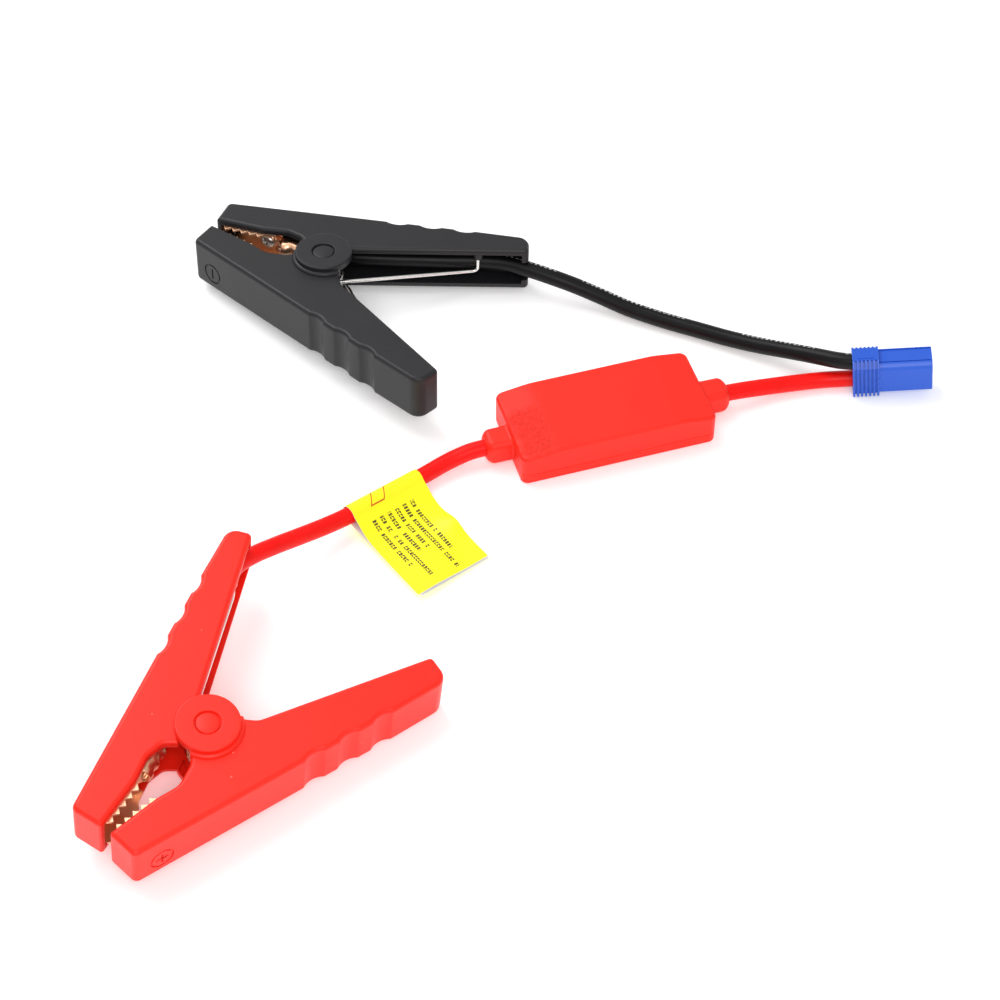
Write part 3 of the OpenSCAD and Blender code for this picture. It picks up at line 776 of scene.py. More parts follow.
# runs a tree on an empty mesh and returns the result as a bmesh
def grown(tree, values):
    host = bpy.data.objects.new("grower", bpy.data.meshes.new("grower"))
    scene.collection.objects.link(host)
    grower = host.modifiers.new("grow", "NODES")
    grower.node_group = tree
    names = {item.name: item.identifier for item in tree.interface.items_tree if item.in_out == "INPUT"}
    for name, value in values.items():
        grower[names[name]] = value
    applyModifiers(host)
    made = bmesh.new()
    made.from_mesh(host.data)
    bpy.data.objects.remove(host)
    bmesh.ops.remove_doubles(made, verts=made.verts, dist=1e-5)
    bmesh.ops.recalc_face_normals(made, faces=made.faces)
    return made


shapeRow = rowTree()
strandBundle = bundleTree()


# clamps

clamp = {
    "jawReach": 56.0, "handleReach": 78.5, "low": 3.5, "high": 25.5, "wall": 3.0, "rounding": 1.9,
    "squeeze": {"edge": (0.305, 32.86), "longer": 0.8,
                "mouth": [(-34, 5.2, 6), (-25, 7.8, 8), (-16, 5.3, 5), (-12, 2, 0.8)],
                "inner": [(6, 4.8, 0.6), (11.5, 6.8, 1.5), (15, 12, 6), (79.3, 44, 2.0)]},
    "cable": {"edge": (0.298, 32.45), "longer": 0.0,
              "mouth": [(-34, 5.2, 6), (-23, 8.8, 6), (-15.8, 7.9, 4), (-12.2, 3.6, 0.8)],
              "inner": [(6, 9.9, 2.0), (78.5, 45.2, 2.0)]},
    "dipFirst": 17.0, "dipPitch": 14.6, "dips": 3, "dipRadius": 8.9, "dipDepth": 1.35,
    "channelInset": 3.35, "discRadius": 12.5, "pinRadius": 4.65, "earRadius": 9.0,
    "notch": ((70.5, 38.0, 8.5), (90.0, 50.2, 18.5)),
}
midZ = (clamp["low"] + clamp["high"]) / 2
mirrorY = Matrix.Scale(-1, 4, (0, 1, 0))


def outerY(x, edge):
    return edge[1] + edge[0] * x


# the lever's outline; the finger dips are already pulled in by inset
def leverCorners(side, inset):
    edge = side["edge"]
    out = Vector((-edge[0], 1)).normalized()
    run = Vector((1, edge[0])).normalized()
    reach, handle = clamp["jawReach"], clamp["handleReach"]
    end = handle - 3.9 + side["longer"]
    corners = [(-reach, 2, 1.2)] + side["mouth"] + side["inner"] + [(end, outerY(end, edge) - 0.6, 5.5)]
    radius = clamp["dipRadius"]
    for i in reversed(range(clamp["dips"])):
        x = clamp["dipFirst"] + clamp["dipPitch"] * i
        middle = Vector((x, outerY(x, edge))) + out * (radius - clamp["dipDepth"])
        half = math.acos((radius - clamp["dipDepth"] + inset) / (radius + inset))
        for k in range(11):
            a = half * (1 - k / 5)
            p = middle + (radius + inset) * (math.sin(a) * run - math.cos(a) * out)
            corners.append((p.x, p.y, -1))
    corners.append((-reach - 1.3, outerY(-reach - 1.3, edge), 2.8))
    return corners


def leverOutline(side, inset):
    # the dips keep their own middles, so they are drawn as fixed points on the outline
    plain = leverCorners(side, 0)
    drawn = leverCorners(side, inset)
    ring = insetOutline(plain, inset)
    fixed = iter(p for p in drawn if p[2] < 0)
    steps = 8
    made, i = [], 0
    for corner in plain:
        if corner[2] < 0:
            p = next(fixed)
            made.append(Vector(p[:2]))
            i += 1
        else:
            made.extend(ring[i:i + steps + 1])
            i += steps + 1
    return made


def channelCutter(edge):
    reach, handle, inset = clamp["jawReach"], clamp["handleReach"], clamp["channelInset"]
    corners = [(-reach + 2.8, -6, 0.5), (handle + 18, -6, 0.5),
               (handle - 5.5, outerY(handle - 5.5, edge) - inset, 2.0),
               (-reach + 1.6, outerY(-reach + 1.6, edge) - inset, 2.0)]
    low, high = clamp["low"] + clamp["wall"], clamp["high"] - clamp["wall"]
    return roundedPlate(lambda inset: insetOutline(corners, inset, 4), low, high, 0.6, 2)


def hookPocket():
    ring = turned(roundedRim(2.1, 19.4, 22.6, 0.3, 3, inner=1.0), 32)
    return moved(ring, Matrix.Translation((57.5, 37.4, 0)))


def cableLeverShape():
    side = clamp["cable"]
    plate = roundedPlate(lambda inset: leverOutline(side, inset), clamp["low"], clamp["high"],
                         clamp["rounding"])
    notch = block(*clamp["notch"], rounding=0.8)
    plate = carved(plate, [channelCutter(side["edge"]), notch])
    ears = []
    for low in (clamp["low"], clamp["high"] - clamp["wall"]):
        ears.append(turned(roundedRim(clamp["earRadius"], low + 0.02, low + clamp["wall"] - 0.02, 0.2, 2,
                                      inner=4.66)))
    return joined(plate, hookPocket(), *ears)


# shallow ring and bars cut into the outer wall near the tip
def poleSignCutter(positive):
    edge = clamp["squeeze"]["edge"]
    depth = 0.45
    ring = turned([(4.25, -depth), (5.0, -depth), (5.0, 1.5), (4.25, 1.5)], 48)
    bars = [block((-0.42, -2.7, -depth), (0.42, 2.7, 1.5))]
    if positive:
        bars.append(block((-2.7, -0.42, -depth), (2.7, 0.42, 1.5)))
    place = (Matrix.Translation((-46.4, -outerY(-46.4, edge), midZ - 2.3))
             @ Matrix.Rotation(-math.atan(edge[0]), 4, "Z")
             @ spun(90, "X"))
    return [moved(shape, place) for shape in [ring] + bars]


# disc over the pivot with a sunk ring round the pin, and the low skirt at its root
def pivotDiscShape():
    high = clamp["high"]
    low, top, radius = high + 0.15, high + 3.5, clamp["discRadius"]
    profile = [(4.72, low), (radius - 0.3, low), (radius, low + 0.3)]
    for i in range(5):
        t = math.radians(90) * i / 4
        profile.append((radius - 0.7 * (1 - math.cos(t)), top - 0.7 * (1 - math.sin(t))))
    profile += [(5.5, top), (5.25, top - 0.1), (5.1, top - 0.3), (5.1, top - 1.1), (4.72, top - 1.1)]
    disc = turned(profile, 96)
    skirt = turned([(9.4, high - 2.9), (radius + 1.4, high - 2.9), (radius + 1.4, high + 0.25),
                    (radius + 1.15, high + 0.75),
                    (radius + 0.6, high + 1.15), (radius - 0.02, high + 1.4), (9.4, high + 1.4)], 96)
    outline = [(p.x, -p.y) for p in leverOutline(clamp["squeeze"], 0.0)]
    trim = stackRings([[(x, y, z) for x, y in outline] for z in (high - 4, high + 3)])
    skirt = carved(skirt, [trim], "INTERSECT")
    return [disc, skirt]


def squeezeLeverShape(positive):
    side = clamp["squeeze"]
    plate = roundedPlate(lambda inset: leverOutline(side, inset), clamp["low"], clamp["high"],
                         clamp["rounding"])
    plate = moved(carved(plate, [channelCutter(side["edge"])]), mirrorY)
    hole = turned([(0, 0), (9.4, 0), (9.4, 29), (0, 29)], 72)
    plate = carved(plate, [hole] + poleSignCutter(positive))
    flip = Matrix.Translation((0, 0, 2 * midZ)) @ Matrix.Scale(-1, 4, (0, 0, 1))
    upper = pivotDiscShape()
    lower = [moved(part, flip) for part in pivotDiscShape()]
    return joined(plate, moved(hookPocket(), mirrorY), *upper, *lower)


def pinShape():
    r, low, top = clamp["pinRadius"], 0.35, 28.65
    profile = [(2.03, low), (r - 0.5, low), (r, low + 0.5), (r, top - 0.7)]
    profile += [(r - 0.2, top - 0.25), (r - 0.7, top), (0, top + 0.05), (0, top - 1.3), (2.03, top - 1.3)]
    return turned(profile, 64)


spring = {"wire": 0.85, "coil": 8.0, "coilLow": 10.2, "coilHigh": 17.0, "hook": (57.5, 37.0), "hookLow": 12.5,
          "hookTop": 21.9, "bend": 2.2, "turns": 3}


# torsion spring; wound +1 has its legs crossing in the open V, -1 has them along inside the levers
def springShape(wound):
    hookX, hookY = spring["hook"]
    legAngle = math.atan2(hookY, hookX) - wound * math.acos(spring["coil"] / math.hypot(hookX, hookY))

    def leg(side, z):
        touch = Vector((spring["coil"] * math.cos(legAngle), side * spring["coil"] * math.sin(legAngle), z))
        foot = Vector((hookX, side * hookY, spring["hookLow"]))
        inward = (touch - foot).normalized()
        upward = Vector((0, 0, 1))
        points = [Vector((hookX, side * hookY, spring["hookTop"])),
                  Vector((hookX, side * hookY, spring["hookLow"] + 5))]
        for i in range(7):
            a = math.radians(15 * i)
            points.append(foot + spring["bend"] * ((1 - math.sin(a)) * upward + (1 - math.cos(a)) * inward))
        length = (touch - foot).length
        for share in (0.15, 0.3, 0.45, 0.6, 0.75, 0.9):
            points.append(foot + inward * length * share)
        return points

    sweep = wound * (2 * math.pi * (spring["turns"] + 1) + 2 * wound * legAngle)
    count = 30 * spring["turns"] + 20
    coil = []
    for i in range(count + 1):
        a = -legAngle + sweep * i / count
        coil.append(Vector((spring["coil"] * math.cos(a), spring["coil"] * math.sin(a),
                            spring["coilLow"] + (spring["coilHigh"] - spring["coilLow"]) * i / count)))
    path = leg(-1, spring["coilLow"]) + coil + list(reversed(leg(1, spring["coilHigh"])))
    return tubeAlong(path, spring["wire"], 14, up=(0.3, 1, 0.1), capRound=0.25)


jaw = {"front": -52.6, "back": -28.0, "web": 12.0, "sheet": 1.0, "teeth": 5, "pitch": 3.9, "depth": 2.2,
       "root": 2.6, "rise": 0.12}


# folded copper channel; the flange edges are toothed
def jawShape():
    front, back, web, thick = jaw["front"], jaw["back"], jaw["web"], jaw["sheet"]

    def rootY(x):
        return jaw["root"] + jaw["rise"] * (x - front)

    outline = []
    for i in range(2 * jaw["teeth"] + 1):
        x = front + jaw["pitch"] * i / 2
        outline.append((x, rootY(x) - (jaw["depth"] if i % 2 else 0)))
    outline += [(back, rootY(back) + 1.4), (back, web + thick), (front + 1, web + thick), (front, web)]
    parts = []
    low, high = clamp["low"] + clamp["wall"], clamp["high"] - clamp["wall"]
    for z in (low, high - thick):
        parts.append(softened(stackRings([[(x, y, z) for x, y in outline],
                                          [(x, y, z + thick) for x, y in outline]]), 0.14))
    parts.append(block((front + 1, web, low + 0.02), (back, web + thick, high - 0.02), 0.14))
    return joined(*parts)


lug = {"x": -34.5, "front": (-26.7, 9.5), "length": 13.4, "turn": 15.0, "radius": 4.3, "tongue": 1.2}


# round barrel, pressed in twice, with its flat tongue
def crimpShape():
    place = (Matrix.Translation((*lug["front"], midZ)) @ spun(lug["turn"], "Z"))
    rings = []
    sides = 32
    stations = [(0.0, 0.86, 1.0), (0.25, 0.96, 1.0), (0.7, 1.0, 1.0), (2.4, 1.0, 1.0), (3.2, 0.97, 0.9),
                (4.2, 0.98, 0.84),
                (5.2, 0.97, 0.9), (6.0, 1.0, 1.0), (7.4, 1.0, 1.0), (8.2, 0.97, 0.9), (9.2, 0.98, 0.84),
                (10.2, 0.97, 0.9),
                (11.0, 1.0, 1.0), (12.7, 1.0, 1.0), (13.15, 0.96, 1.0), (13.4, 0.88, 1.0)]
    for x, wide, tall in stations:
        rings.append([(x, lug["radius"] * wide * math.cos(2 * math.pi * k / sides) * tall,
                       lug["radius"] * wide * math.sin(2 * math.pi * k / sides) * (2 - tall) ** 0.4)
                      for k in range(sides)])
    barrel = moved(stackRings(rings), place)
    web, thick = jaw["web"], lug["tongue"]
    tongue = block((-37.5, web - thick, midZ - 4), (-30.8, web - 0.02, midZ + 4), 0.35)
    a = [Vector((-31.2, web - thick, midZ - 4)), Vector((-31.2, web - 0.05, midZ - 4)),
         Vector((-31.2, web - 0.05, midZ + 4)),
         Vector((-31.2, web - thick, midZ + 4))]
    b = [place @ Vector(p) for p in ((0.3, -2.4, -2.6), (0.3, 2.0, -2.6), (0.3, 2.0, 2.6), (0.3, -2.4, 2.6))]
    neck = softened(stackRings([a, [p.lerp(q, 0.5) for p, q in zip(a, b)], b]), 0.3)
    return joined(barrel, tongue, neck)


def strandShape():
    strands = grown(strandBundle,
                    {"Strands": 37, "Strand Radius": 0.36, "Bundle Radius": 2.7, "Length": 1.6, "Seed": 4,
                                   "Finish": brightCopper})
    place = (Matrix.Translation((*lug["front"], midZ)) @ spun(lug["turn"], "Z")
             @ Matrix.Translation((-0.6, 0, 0)))
    return moved(strands, place)


def screwShape():
    head = turned([(0, -5), (1.65, -5), (1.65, 0), (3.35, 0), (3.35, 0.5), (3.1, 1.2), (2.4, 1.75),
                   (1.2, 2.0), (0, 2.05)], 48)
    bars = [moved(block((-2.1, -0.36, 1.05), (2.1, 0.36, 3)), spun(a, "Z")) for a in (20, 110)]
    head = carved(head, bars)
    return moved(head, Matrix.Translation((lug["x"], jaw["web"] - lug["tongue"], midZ)) @ spun(90, "X"))


def rivetShape():
    head = turned([(0, -1), (1.5, -1), (1.5, 0), (3.2, 0), (3.15, 0.4), (2.8, 0.95), (2.0, 1.4), (1.0, 1.58),
                   (0, 1.62)], 48)
    return moved(head, Matrix.Translation((-42, -jaw["web"], midZ)) @ spun(-90, "X"))


clamps = {
    "black": {"place": (-78, 116.5, 1.1), "tip": (-4.9, 0.95), "heading": -26, "plastic": blackPlastic,
              "positive": False, "wound": 1},
    "red": {"place": (-111, -134.5, 3.2), "tip": (4.4, 5.7), "heading": 53, "plastic": redPlastic,
            "positive": True,
            "wound": -1},
}


def layoutPlace(place):
    return Matrix.Scale(mm, 4) @ Matrix.Translation(Vector(place) - layoutMid)


def clampPlace(spec):
    turn = (spun(spec["tip"][0], "X") @ spun(spec["tip"][1], "Y")
            @ spun(spec["heading"], "Z"))
    return layoutPlace(spec["place"]) @ turn


root = "lead_set"
for colour, spec in clamps.items():
    place = clampPlace(spec)
    moving = colour + "_squeeze_side"
    finishPiece(colour + "CableLever", cableLeverShape(), place, spec["plastic"], root,
                [colour + "_cable_lever"])
    finishPiece(colour + "SqueezeLever", squeezeLeverShape(spec["positive"]), place, spec["plastic"], moving,
                [colour + "_squeeze_lever"])
    finishPiece(colour + "PivotPin", pinShape(), place, spec["plastic"], root, [colour + "_pivot_pin"])
    finishPiece(colour + "CableJaw", jawShape(), place, copperSheet, root, [colour + "_cable_jaw"])
    finishPiece(colour + "SqueezeJaw", moved(jawShape(), mirrorY), place, copperSheet, moving,
                [colour + "_squeeze_jaw"])
    finishPiece(colour + "CrimpLug", crimpShape(), place, copperSheet, root, [colour + "_crimp_lug"])
    finishPiece(colour + "Strands", strandShape(), place, brightCopper, root, ())
    finishPiece(colour + "LugScrew", screwShape(), place, screwSteel, root, [colour + "_lug_screw"])
    finishPiece(colour + "JawRivet", rivetShape(), place, screwSteel, moving, [colour + "_jaw_rivet"])
    coil = looseObject(colour + "Spring", springShape(spec["wound"]))
    coil.data.transform(place)
    coil.data.materials.append(springSteel)
    coil.data.shade_smooth()
    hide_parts(colour + "_spring")
    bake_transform(coil)
    nodes[colour + "_pivot_rod"].data.materials.clear()
    nodes[colour + "_pivot_rod"].data.materials.append(springSteel)
print("clamps made")


# protection module

module = {"place": (44.6, 40.2, 0), "heading": 17.0, "length": 86.0, "width": 41.0, "height": 17.0,
          "slope": 15.0, "drop": 2.4,
          "corner": 3.2, "rounding": 1.4, "seam": 5.0, "wall": 2.2, "reliefAcross": -1.8, "reliefHigh": 7.3}
modulePlace = layoutPlace(module["place"]) @ spun(module["heading"], "Z")
moduleRed = crinkledPlastic("moduleRedPlastic", colours["redPlastic"],
                            tuple(modulePlace @ Vector((-34.5, -6.5, 0))), math.radians(module["heading"]),
                            (0.0052, 0.0115))


# height of the module's top at x, softly bent where its ends fall away
def topHeight(x):
    over = abs(x) - (module["length"] / 2 - module["slope"])
    soft = 1.4
    bend = 0.5 * (over + math.sqrt(over * over + soft * soft))
    return module["height"] - bend * module["drop"] / module["slope"]


def moduleOutline(inset, steps=8):
    l, w, r = module["length"] / 2, module["width"] / 2, module["corner"]
    ring = insetOutline([(l, w, r), (-l, w, r), (-l, -w, r), (l, -w, r)], inset, steps)
    # extra stations along the two long sides carry the bend of the top
    stations = [l - r - i * (2 * l - 2 * r) / 40 for i in range(1, 40)]
    n = steps + 1
    made = ring[:n] + [Vector((x, w - inset)) for x in stations] + ring[n:2 * n]
    made += ring[2 * n:3 * n] + [Vector((x, inset - w)) for x in reversed(stations)] + ring[3 * n:]
    return made


def moduleCoverShape():
    seam, rounding = module["seam"], module["rounding"]
    rings = [[(p.x, p.y, seam + 0.02) for p in moduleOutline(0.22)],
             [(p.x, p.y, seam + 0.16) for p in moduleOutline(0.04)],
             [(p.x, p.y, seam + 0.6) for p in moduleOutline(0.0)],
             [(p.x, p.y, 10) for p in moduleOutline(0.0)]]
    for i in range(7):
        t = math.radians(15 * i)
        inset = rounding * (1 - math.cos(t))
        rings.append([(p.x, p.y, topHeight(p.x) - rounding * (1 - math.sin(t)))
                      for p in moduleOutline(inset)])
    made = bmesh.new()
    rows = [[made.verts.new(p) for p in ring] for ring in rings]
    count = len(rows[0])
    for lower, upper in zip(rows, rows[1:]):
        for k in range(count):
            made.faces.new((lower[k], lower[(k + 1) % count], upper[(k + 1) % count], upper[k]))
    made.faces.new(list(reversed(rows[0])))
    # the top is closed with strips across it, so that it follows the bend
    top = rows[-1]
    half = count // 2
    left = top[:half]
    right = list(reversed(top[half:]))
    for a, b, c, d in zip(left, left[1:], right[1:], right):
        made.faces.new((a, b, c, d))
    bmesh.ops.recalc_face_normals(made, faces=made.faces)
    inner = insetBlock(module["wall"], 0)
    return carved(made, [inner, reliefHole()])


def insetBlock(inset, low):
    l, w = module["length"] / 2 - inset, module["width"] / 2 - inset
    h, s, d = module["height"] - inset, module["slope"], module["drop"]
    side = [(-l, low), (l, low), (l, h - d), (l - s, h), (s - l, h), (-l, h - d)]
    return stackRings([[(x, y, z) for x, z in side] for y in (-w, w)])


def reliefHole():
    hole = turned([(0, -60), (3.62, -60), (3.62, 60), (0, 60)], 48)
    return moved(hole, Matrix.Translation((0, module["reliefAcross"], module["reliefHigh"])) @ spun(90, "Y"))


def moduleBaseShape():
    seam = module["seam"]
    levels = [(0.9, 0.0), (0.45, 0.12), (0.12, 0.45), (0.0, 0.9), (0.0, seam - 0.6), (0.04, seam - 0.16),
              (0.22, seam - 0.02)]
    base = stackRings([[(p.x, p.y, z) for p in moduleOutline(inset)] for inset, z in levels])
    base = carved(base, [insetBlock(module["wall"], module["wall"]), reliefHole()])
    posts = []
    for x in (-29, 29):
        for y in (-13.5, 13.5):
            post = turned([(1.15, module["wall"] - 0.02), (2.6, module["wall"] - 0.02), (2.6, 4.4),
                           (2.4, 4.6), (1.15, 4.6)], 32)
            posts.append(moved(post, Matrix.Translation((x, y, 0))))
    return joined(base, *posts)


# rounded square sleeve with a soft shoulder, bored for the cable
def reliefShape(side):
    stations = [(0.0, 12.9, 13.2, 3.2), (0.5, 12.2, 12.6, 3.1), (1.2, 12.0, 12.4, 3.0),
                (8.0, 11.9, 12.2, 3.0), (9.0, 11.6, 11.9, 3.1),
                (9.8, 10.8, 11.2, 3.3), (10.5, 9.9, 10.2, 3.6), (11.0, 8.7, 9.0, 3.8)]
    rings = []
    for x, h, w, r in stations:
        ring = insetOutline([(w / 2, -h / 2, r), (w / 2, h / 2, r), (-w / 2, h / 2, r), (-w / 2, -h / 2, r)],
                            0, 8)
        rings.append([(x, p.x, p.y) for p in ring])
    angles = [math.atan2(p[2], p[1]) for p in rings[-1]]
    for x in (11.0, 10.9, 0.0):
        radius = 3.8 if x == 11.0 else 3.62
        rings.append([(x, radius * math.cos(a), radius * math.sin(a)) for a in angles])
    rings.append(rings[0])
    made = bmesh.new()
    rows = [[made.verts.new(p) for p in ring] for ring in rings]
    for lower, upper in zip(rows, rows[1:]):
        for k in range(len(lower)):
            j = (k + 1) % len(lower)
            made.faces.new((lower[k], lower[j], upper[j], upper[k]))
    bmesh.ops.remove_doubles(made, verts=made.verts, dist=0.003)
    place = Matrix.Translation((side * module["length"] / 2, module["reliefAcross"], module["reliefHigh"]))
    if side < 0:
        place = place @ Matrix.Rotation(math.pi, 4, "Z")
    bmesh.ops.recalc_face_normals(made, faces=made.faces)
    return moved(made, place)


# two rows of the same small screw
def boardScrewShape():
    head = turned([(0, -4.4), (1.08, -4.4), (1.08, 0), (2.2, 0), (2.15, 0.5), (1.6, 1.0), (0, 1.1)], 24)
    head = carved(head,
                  [block((-1.3, -0.22, 0.5), (1.3, 0.22, 2)), block((-0.22, -1.3, 0.5), (0.22, 1.3, 2))])
    one = looseObject("screw", head)
    rows = [grown(shapeRow,
                  {"Shape": one, "Count": 2, "Start": (-29.0, y, 6.2), "Step": (58.0, 0.0, 0.0),
                   "Wobble": 0.0, "Seed": 1,
                             "Finish": screwSteel}) for y in (-13.5, 13.5)]
    bpy.data.objects.remove(one)
    return joined(*rows)


finishPiece("moduleCover", moduleCoverShape(), modulePlace, moduleRed, root, ["module_cover"])
finishPiece("moduleBase", moduleBaseShape(), modulePlace, moduleRed, root, ["module_base"])
finishPiece("clampSideRelief", reliefShape(-1), modulePlace, moduleRed, root, ["clamp_side_relief"])
finishPiece("plugSideRelief", reliefShape(1), modulePlace, moduleRed, root, ["plug_side_relief"])
finishPiece("boardScrews", boardScrewShape(), modulePlace, screwSteel, root, ["board_screws"])
for name, material in (("circuit_board", boardGreen), ("power_switches", chipBlack), ("capacitors", canMetal),
                       ("module_terminals", copperSheet)):
    nodes[name].data.materials.clear()
    nodes[name].data.materials.append(material)
print("module made")


# plug

plug = {"place": (152.8, 65.6, 0), "rise": 6.5, "turn": -2.0, "collar": (11.2, 14.0, 19.6, 3.0),
        "nose": (22.6, 12.8, 15.9, 2.4),
        "ribs": 7, "ribDepth": 0.95, "pitch": 7.8, "split": 9.8, "seat": 2.0,
        "nearRound": 3.2, "sunk": 0.5, "grooveWide": 0.7, "grooveDeep": 1.3}
plugPlace = (layoutPlace(plug["place"]) @ spun(plug["turn"], "Z")
             @ spun(-plug["rise"], "Y") @ Matrix.Translation((0, 0, plug["collar"][2] / 2)))


def keyedRing(x, wide, tall, key, inset=0.0, r=0.5, nearRound=0.5):
    corners = [(-wide / 2, -tall / 2, r), (wide / 2, -tall / 2, r), (wide / 2, tall / 2 - key, r),
               (wide / 2 - key, tall / 2, r),
               (key - wide / 2, tall / 2, nearRound), (-wide / 2, tall / 2 - key, nearRound)]
    return [(x, p.x, p.y) for p in insetOutline(corners, inset, 4)]


def plugShape():
    length, wide, tall, key = plug["collar"]
    noseLong, noseWide, noseTall, noseKey = plug["nose"]
    depth = plug["ribDepth"]
    core = stackRings([keyedRing(x, wide - 2 * depth, tall - 2 * depth, key - 0.2, inset) for x,
                       inset in ((0, 0.1), (0.1, 0), (length, 0))])
    tip = length + noseLong
    nose = stackRings([keyedRing(x, noseWide, noseTall, noseKey, inset, nearRound=plug["nearRound"]) for x,
                       inset in
                       ((length - 0.5, 0), (tip - 0.4, 0), (tip - 0.12, 0.12), (tip, 0.4))])
    bores, seats = [], []
    for side in (-1, 1):
        bore = turned([(0, -1), (3.1, -1), (3.1, 60), (0, 60)], 40)
        bores.append(moved(bore, Matrix.Translation((0, 0, side * plug["pitch"] / 2)) @ spun(90, "Y")))
        mouth = turned([(0, 0), (3.1, 0), (3.5, 0.6), (0, 0.6)], 40)
        bores.append(moved(mouth,
                           Matrix.Translation((tip - 0.4, 0, side * plug["pitch"] / 2)) @ spun(90, "Y")))
        seat = turned([(0, -1), (3.62, -1), (3.62, plug["seat"]), (0, plug["seat"])], 40)
        seats.append(moved(seat, Matrix.Translation((0, 0, side * plug["split"] / 2)) @ spun(90, "Y")))
    # the top is a little sunk behind a rounded rail, with a groove between them
    rail = noseKey + 0.1 - noseWide / 2
    floor = rail + plug["grooveWide"]
    over = noseTall / 2 + 1
    sunk = block((length + 0.02, floor, noseTall / 2 - plug["sunk"]),
                 (tip + 2, noseWide / 2 - noseKey - 0.35, over))
    groove = block((length + 0.02, rail, noseTall / 2 - plug["grooveDeep"]), (tip + 2, floor + 0.05, over))
    body = carved(core, [nose], "UNION")
    body = carved(body, bores + seats + [sunk, groove])
    # one rib, then a row of them
    pitch = length / (plug["ribs"] - 0.5)
    ribLong = pitch / 2
    rib = stackRings([keyedRing(x, wide, tall, key, inset) for x, inset in
                      ((0, 1.0), (0, 0.14), (0.14, 0), (ribLong - 0.14, 0), (ribLong, 0.14), (ribLong, 1.0))])
    hollow = stackRings([keyedRing(x, wide - 2 * depth - 0.1, tall - 2 * depth - 0.1, key - 0.2)
                         for x in (-1, 2)])
    one = looseObject("rib", carved(rib, [hollow]))
    ribs = grown(shapeRow,
                 {"Shape": one, "Count": plug["ribs"], "Start": (0.0, 0.0, 0.0), "Step": (pitch, 0.0, 0.0),
                  "Wobble": 0.0,
                            "Seed": 1, "Finish": bluePlastic})
    bpy.data.objects.remove(one)
    panel = block((0.05, 3.4 - wide / 2, tall / 2 - 2), (length - 0.05, wide / 2 - 3.4, tall / 2 - 0.1), 0.15)
    bar = block((2.1, 4.2 - wide / 2, tall / 2 - 0.5), (length - 2.3, 4.9 - wide / 2, tall / 2 + 0.25), 0.12)
    return joined(body, ribs, panel, bar)


finishPiece("plugHousing", plugShape(), plugPlace, bluePlastic, root, ["plug_housing"], sharp=32)


# gold-plated socket, split by three slots so that it grips its pin
def contactShape(side):
    barrel = turned([(2.5, 14.0), (2.5, 31.6), (2.75, 32.0), (3.0, 31.8), (3.08, 31.4), (3.08, 6.1),
                     (2.9, 6.0), (2.2, 6.0), (2.2, 11.0),
                     (0, 11.0), (0, 14.0)], 48)
    slots = [moved(block((-0.2, -0.3, 24.0), (4, 0.3, 33)), spun(120 * i + 20, "Z")) for i in range(3)]
    barrel = carved(barrel, slots)
    return moved(barrel, Matrix.Translation((0, 0, side * plug["pitch"] / 2)) @ spun(90, "Y"))


finishPiece("negativeContact", contactShape(1), plugPlace, goldPlate, root, ["negative_contact"])
finishPiece("positiveContact", contactShape(-1), plugPlace, goldPlate, root, ["positive_contact"])
print("plug made")


# cables

cables = {
    "blackCable": {
        "node": "black_cable", "slot": "black_jacket", "jacket": blackJacket, "farEnd": "plug",
        "with": ["plugHousing", "negativeContact"],
        "route": [
            (-85.7, 135.3, 14.2), (-78.5, 134, 14.1), (-66, 132, 14), (-53.5, 131, 14),
            (-38, 130.5, 13.8), (-22.5, 130.2, 13.5), (-8, 130, 13.4), (3, 128.5, 13.3),
            (13, 125.3, 12.5), (23.5, 121.8, 11), (34, 118.3, 9), (44.5, 114, 7),
            (56.5, 108.5, 5), (72.5, 101.8, 4), (88, 95.5, 4), (101, 89.8, 4.5),
            (113.5, 84.2, 6), (124, 79.4, 8), (133, 74.7, 10.3), (140, 70.7, 12.2),
            (146.3, 67.5, 13.7), (153.7, 65.6, 14.8)]},
    "redClampCable": {
        "node": "red_clamp_cable", "slot": "red_jacket", "jacket": redJacket, "farEnd": "object", "with": [],
        "route": [
            (-125.7, -133.7, 19.2), (-121.5, -122, 19.7), (-118, -109.5, 20.5),
            (-114.5, -94.5, 21.3), (-111.5, -79.5, 22), (-108.5, -65.5, 22.8),
            (-104.5, -55, 23), (-98.5, -47.6, 21), (-90, -39.7, 17.8),
            (-80.5, -31.3, 13.9), (-71, -23, 10.3), (-62, -15.3, 7.9),
            (-48, -3.9, 6.5), (-34, 7.5, 5.1), (-21, 16.8, 5.8),
            (-12.3, 20.9, 7), (-6.5, 22.7, 7.3), (6.9, 26.8, 7.3)]},
    "redPlugCable": {
        "node": "red_plug_cable", "slot": "red_jacket", "jacket": redJacket, "farEnd": "plug",
                     "with": ["positiveContact"],
        "route": [
            (83.4, 50.2, 7.3), (96.8, 54.3, 7.3), (102.5, 56, 7), (108, 57.8, 6.3),
            (114, 59.7, 5.5), (123, 62.2, 4.6), (134, 64.6, 4), (141, 65.6, 3.9),
            (147.4, 65.8, 4.2), (154.8, 65.5, 5.1)]},
}
cableRadius = 3.6
for name, spec in cables.items():
    path = smoothPath(spec["route"], 2.0)
    tube = looseObject(name, tubeAlong(path, cableRadius, 28, capRound=0.5))
    place = layoutPlace((0, 0, 0))
    tube.data.transform(place)
    tube.data.materials.append(spec["jacket"])
    tube.data.shade_smooth()
    tube.data.set_sharp_from_angle(angle=math.radians(60))
    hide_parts(spec["node"])
    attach(tube, root)
    spec["path"] = [place @ p for p in path]
    spec["length"] = pathLength(path) * mm
print("cables made, lengths", {name: round(spec["length"], 3) for name, spec in cables.items()})


# tag

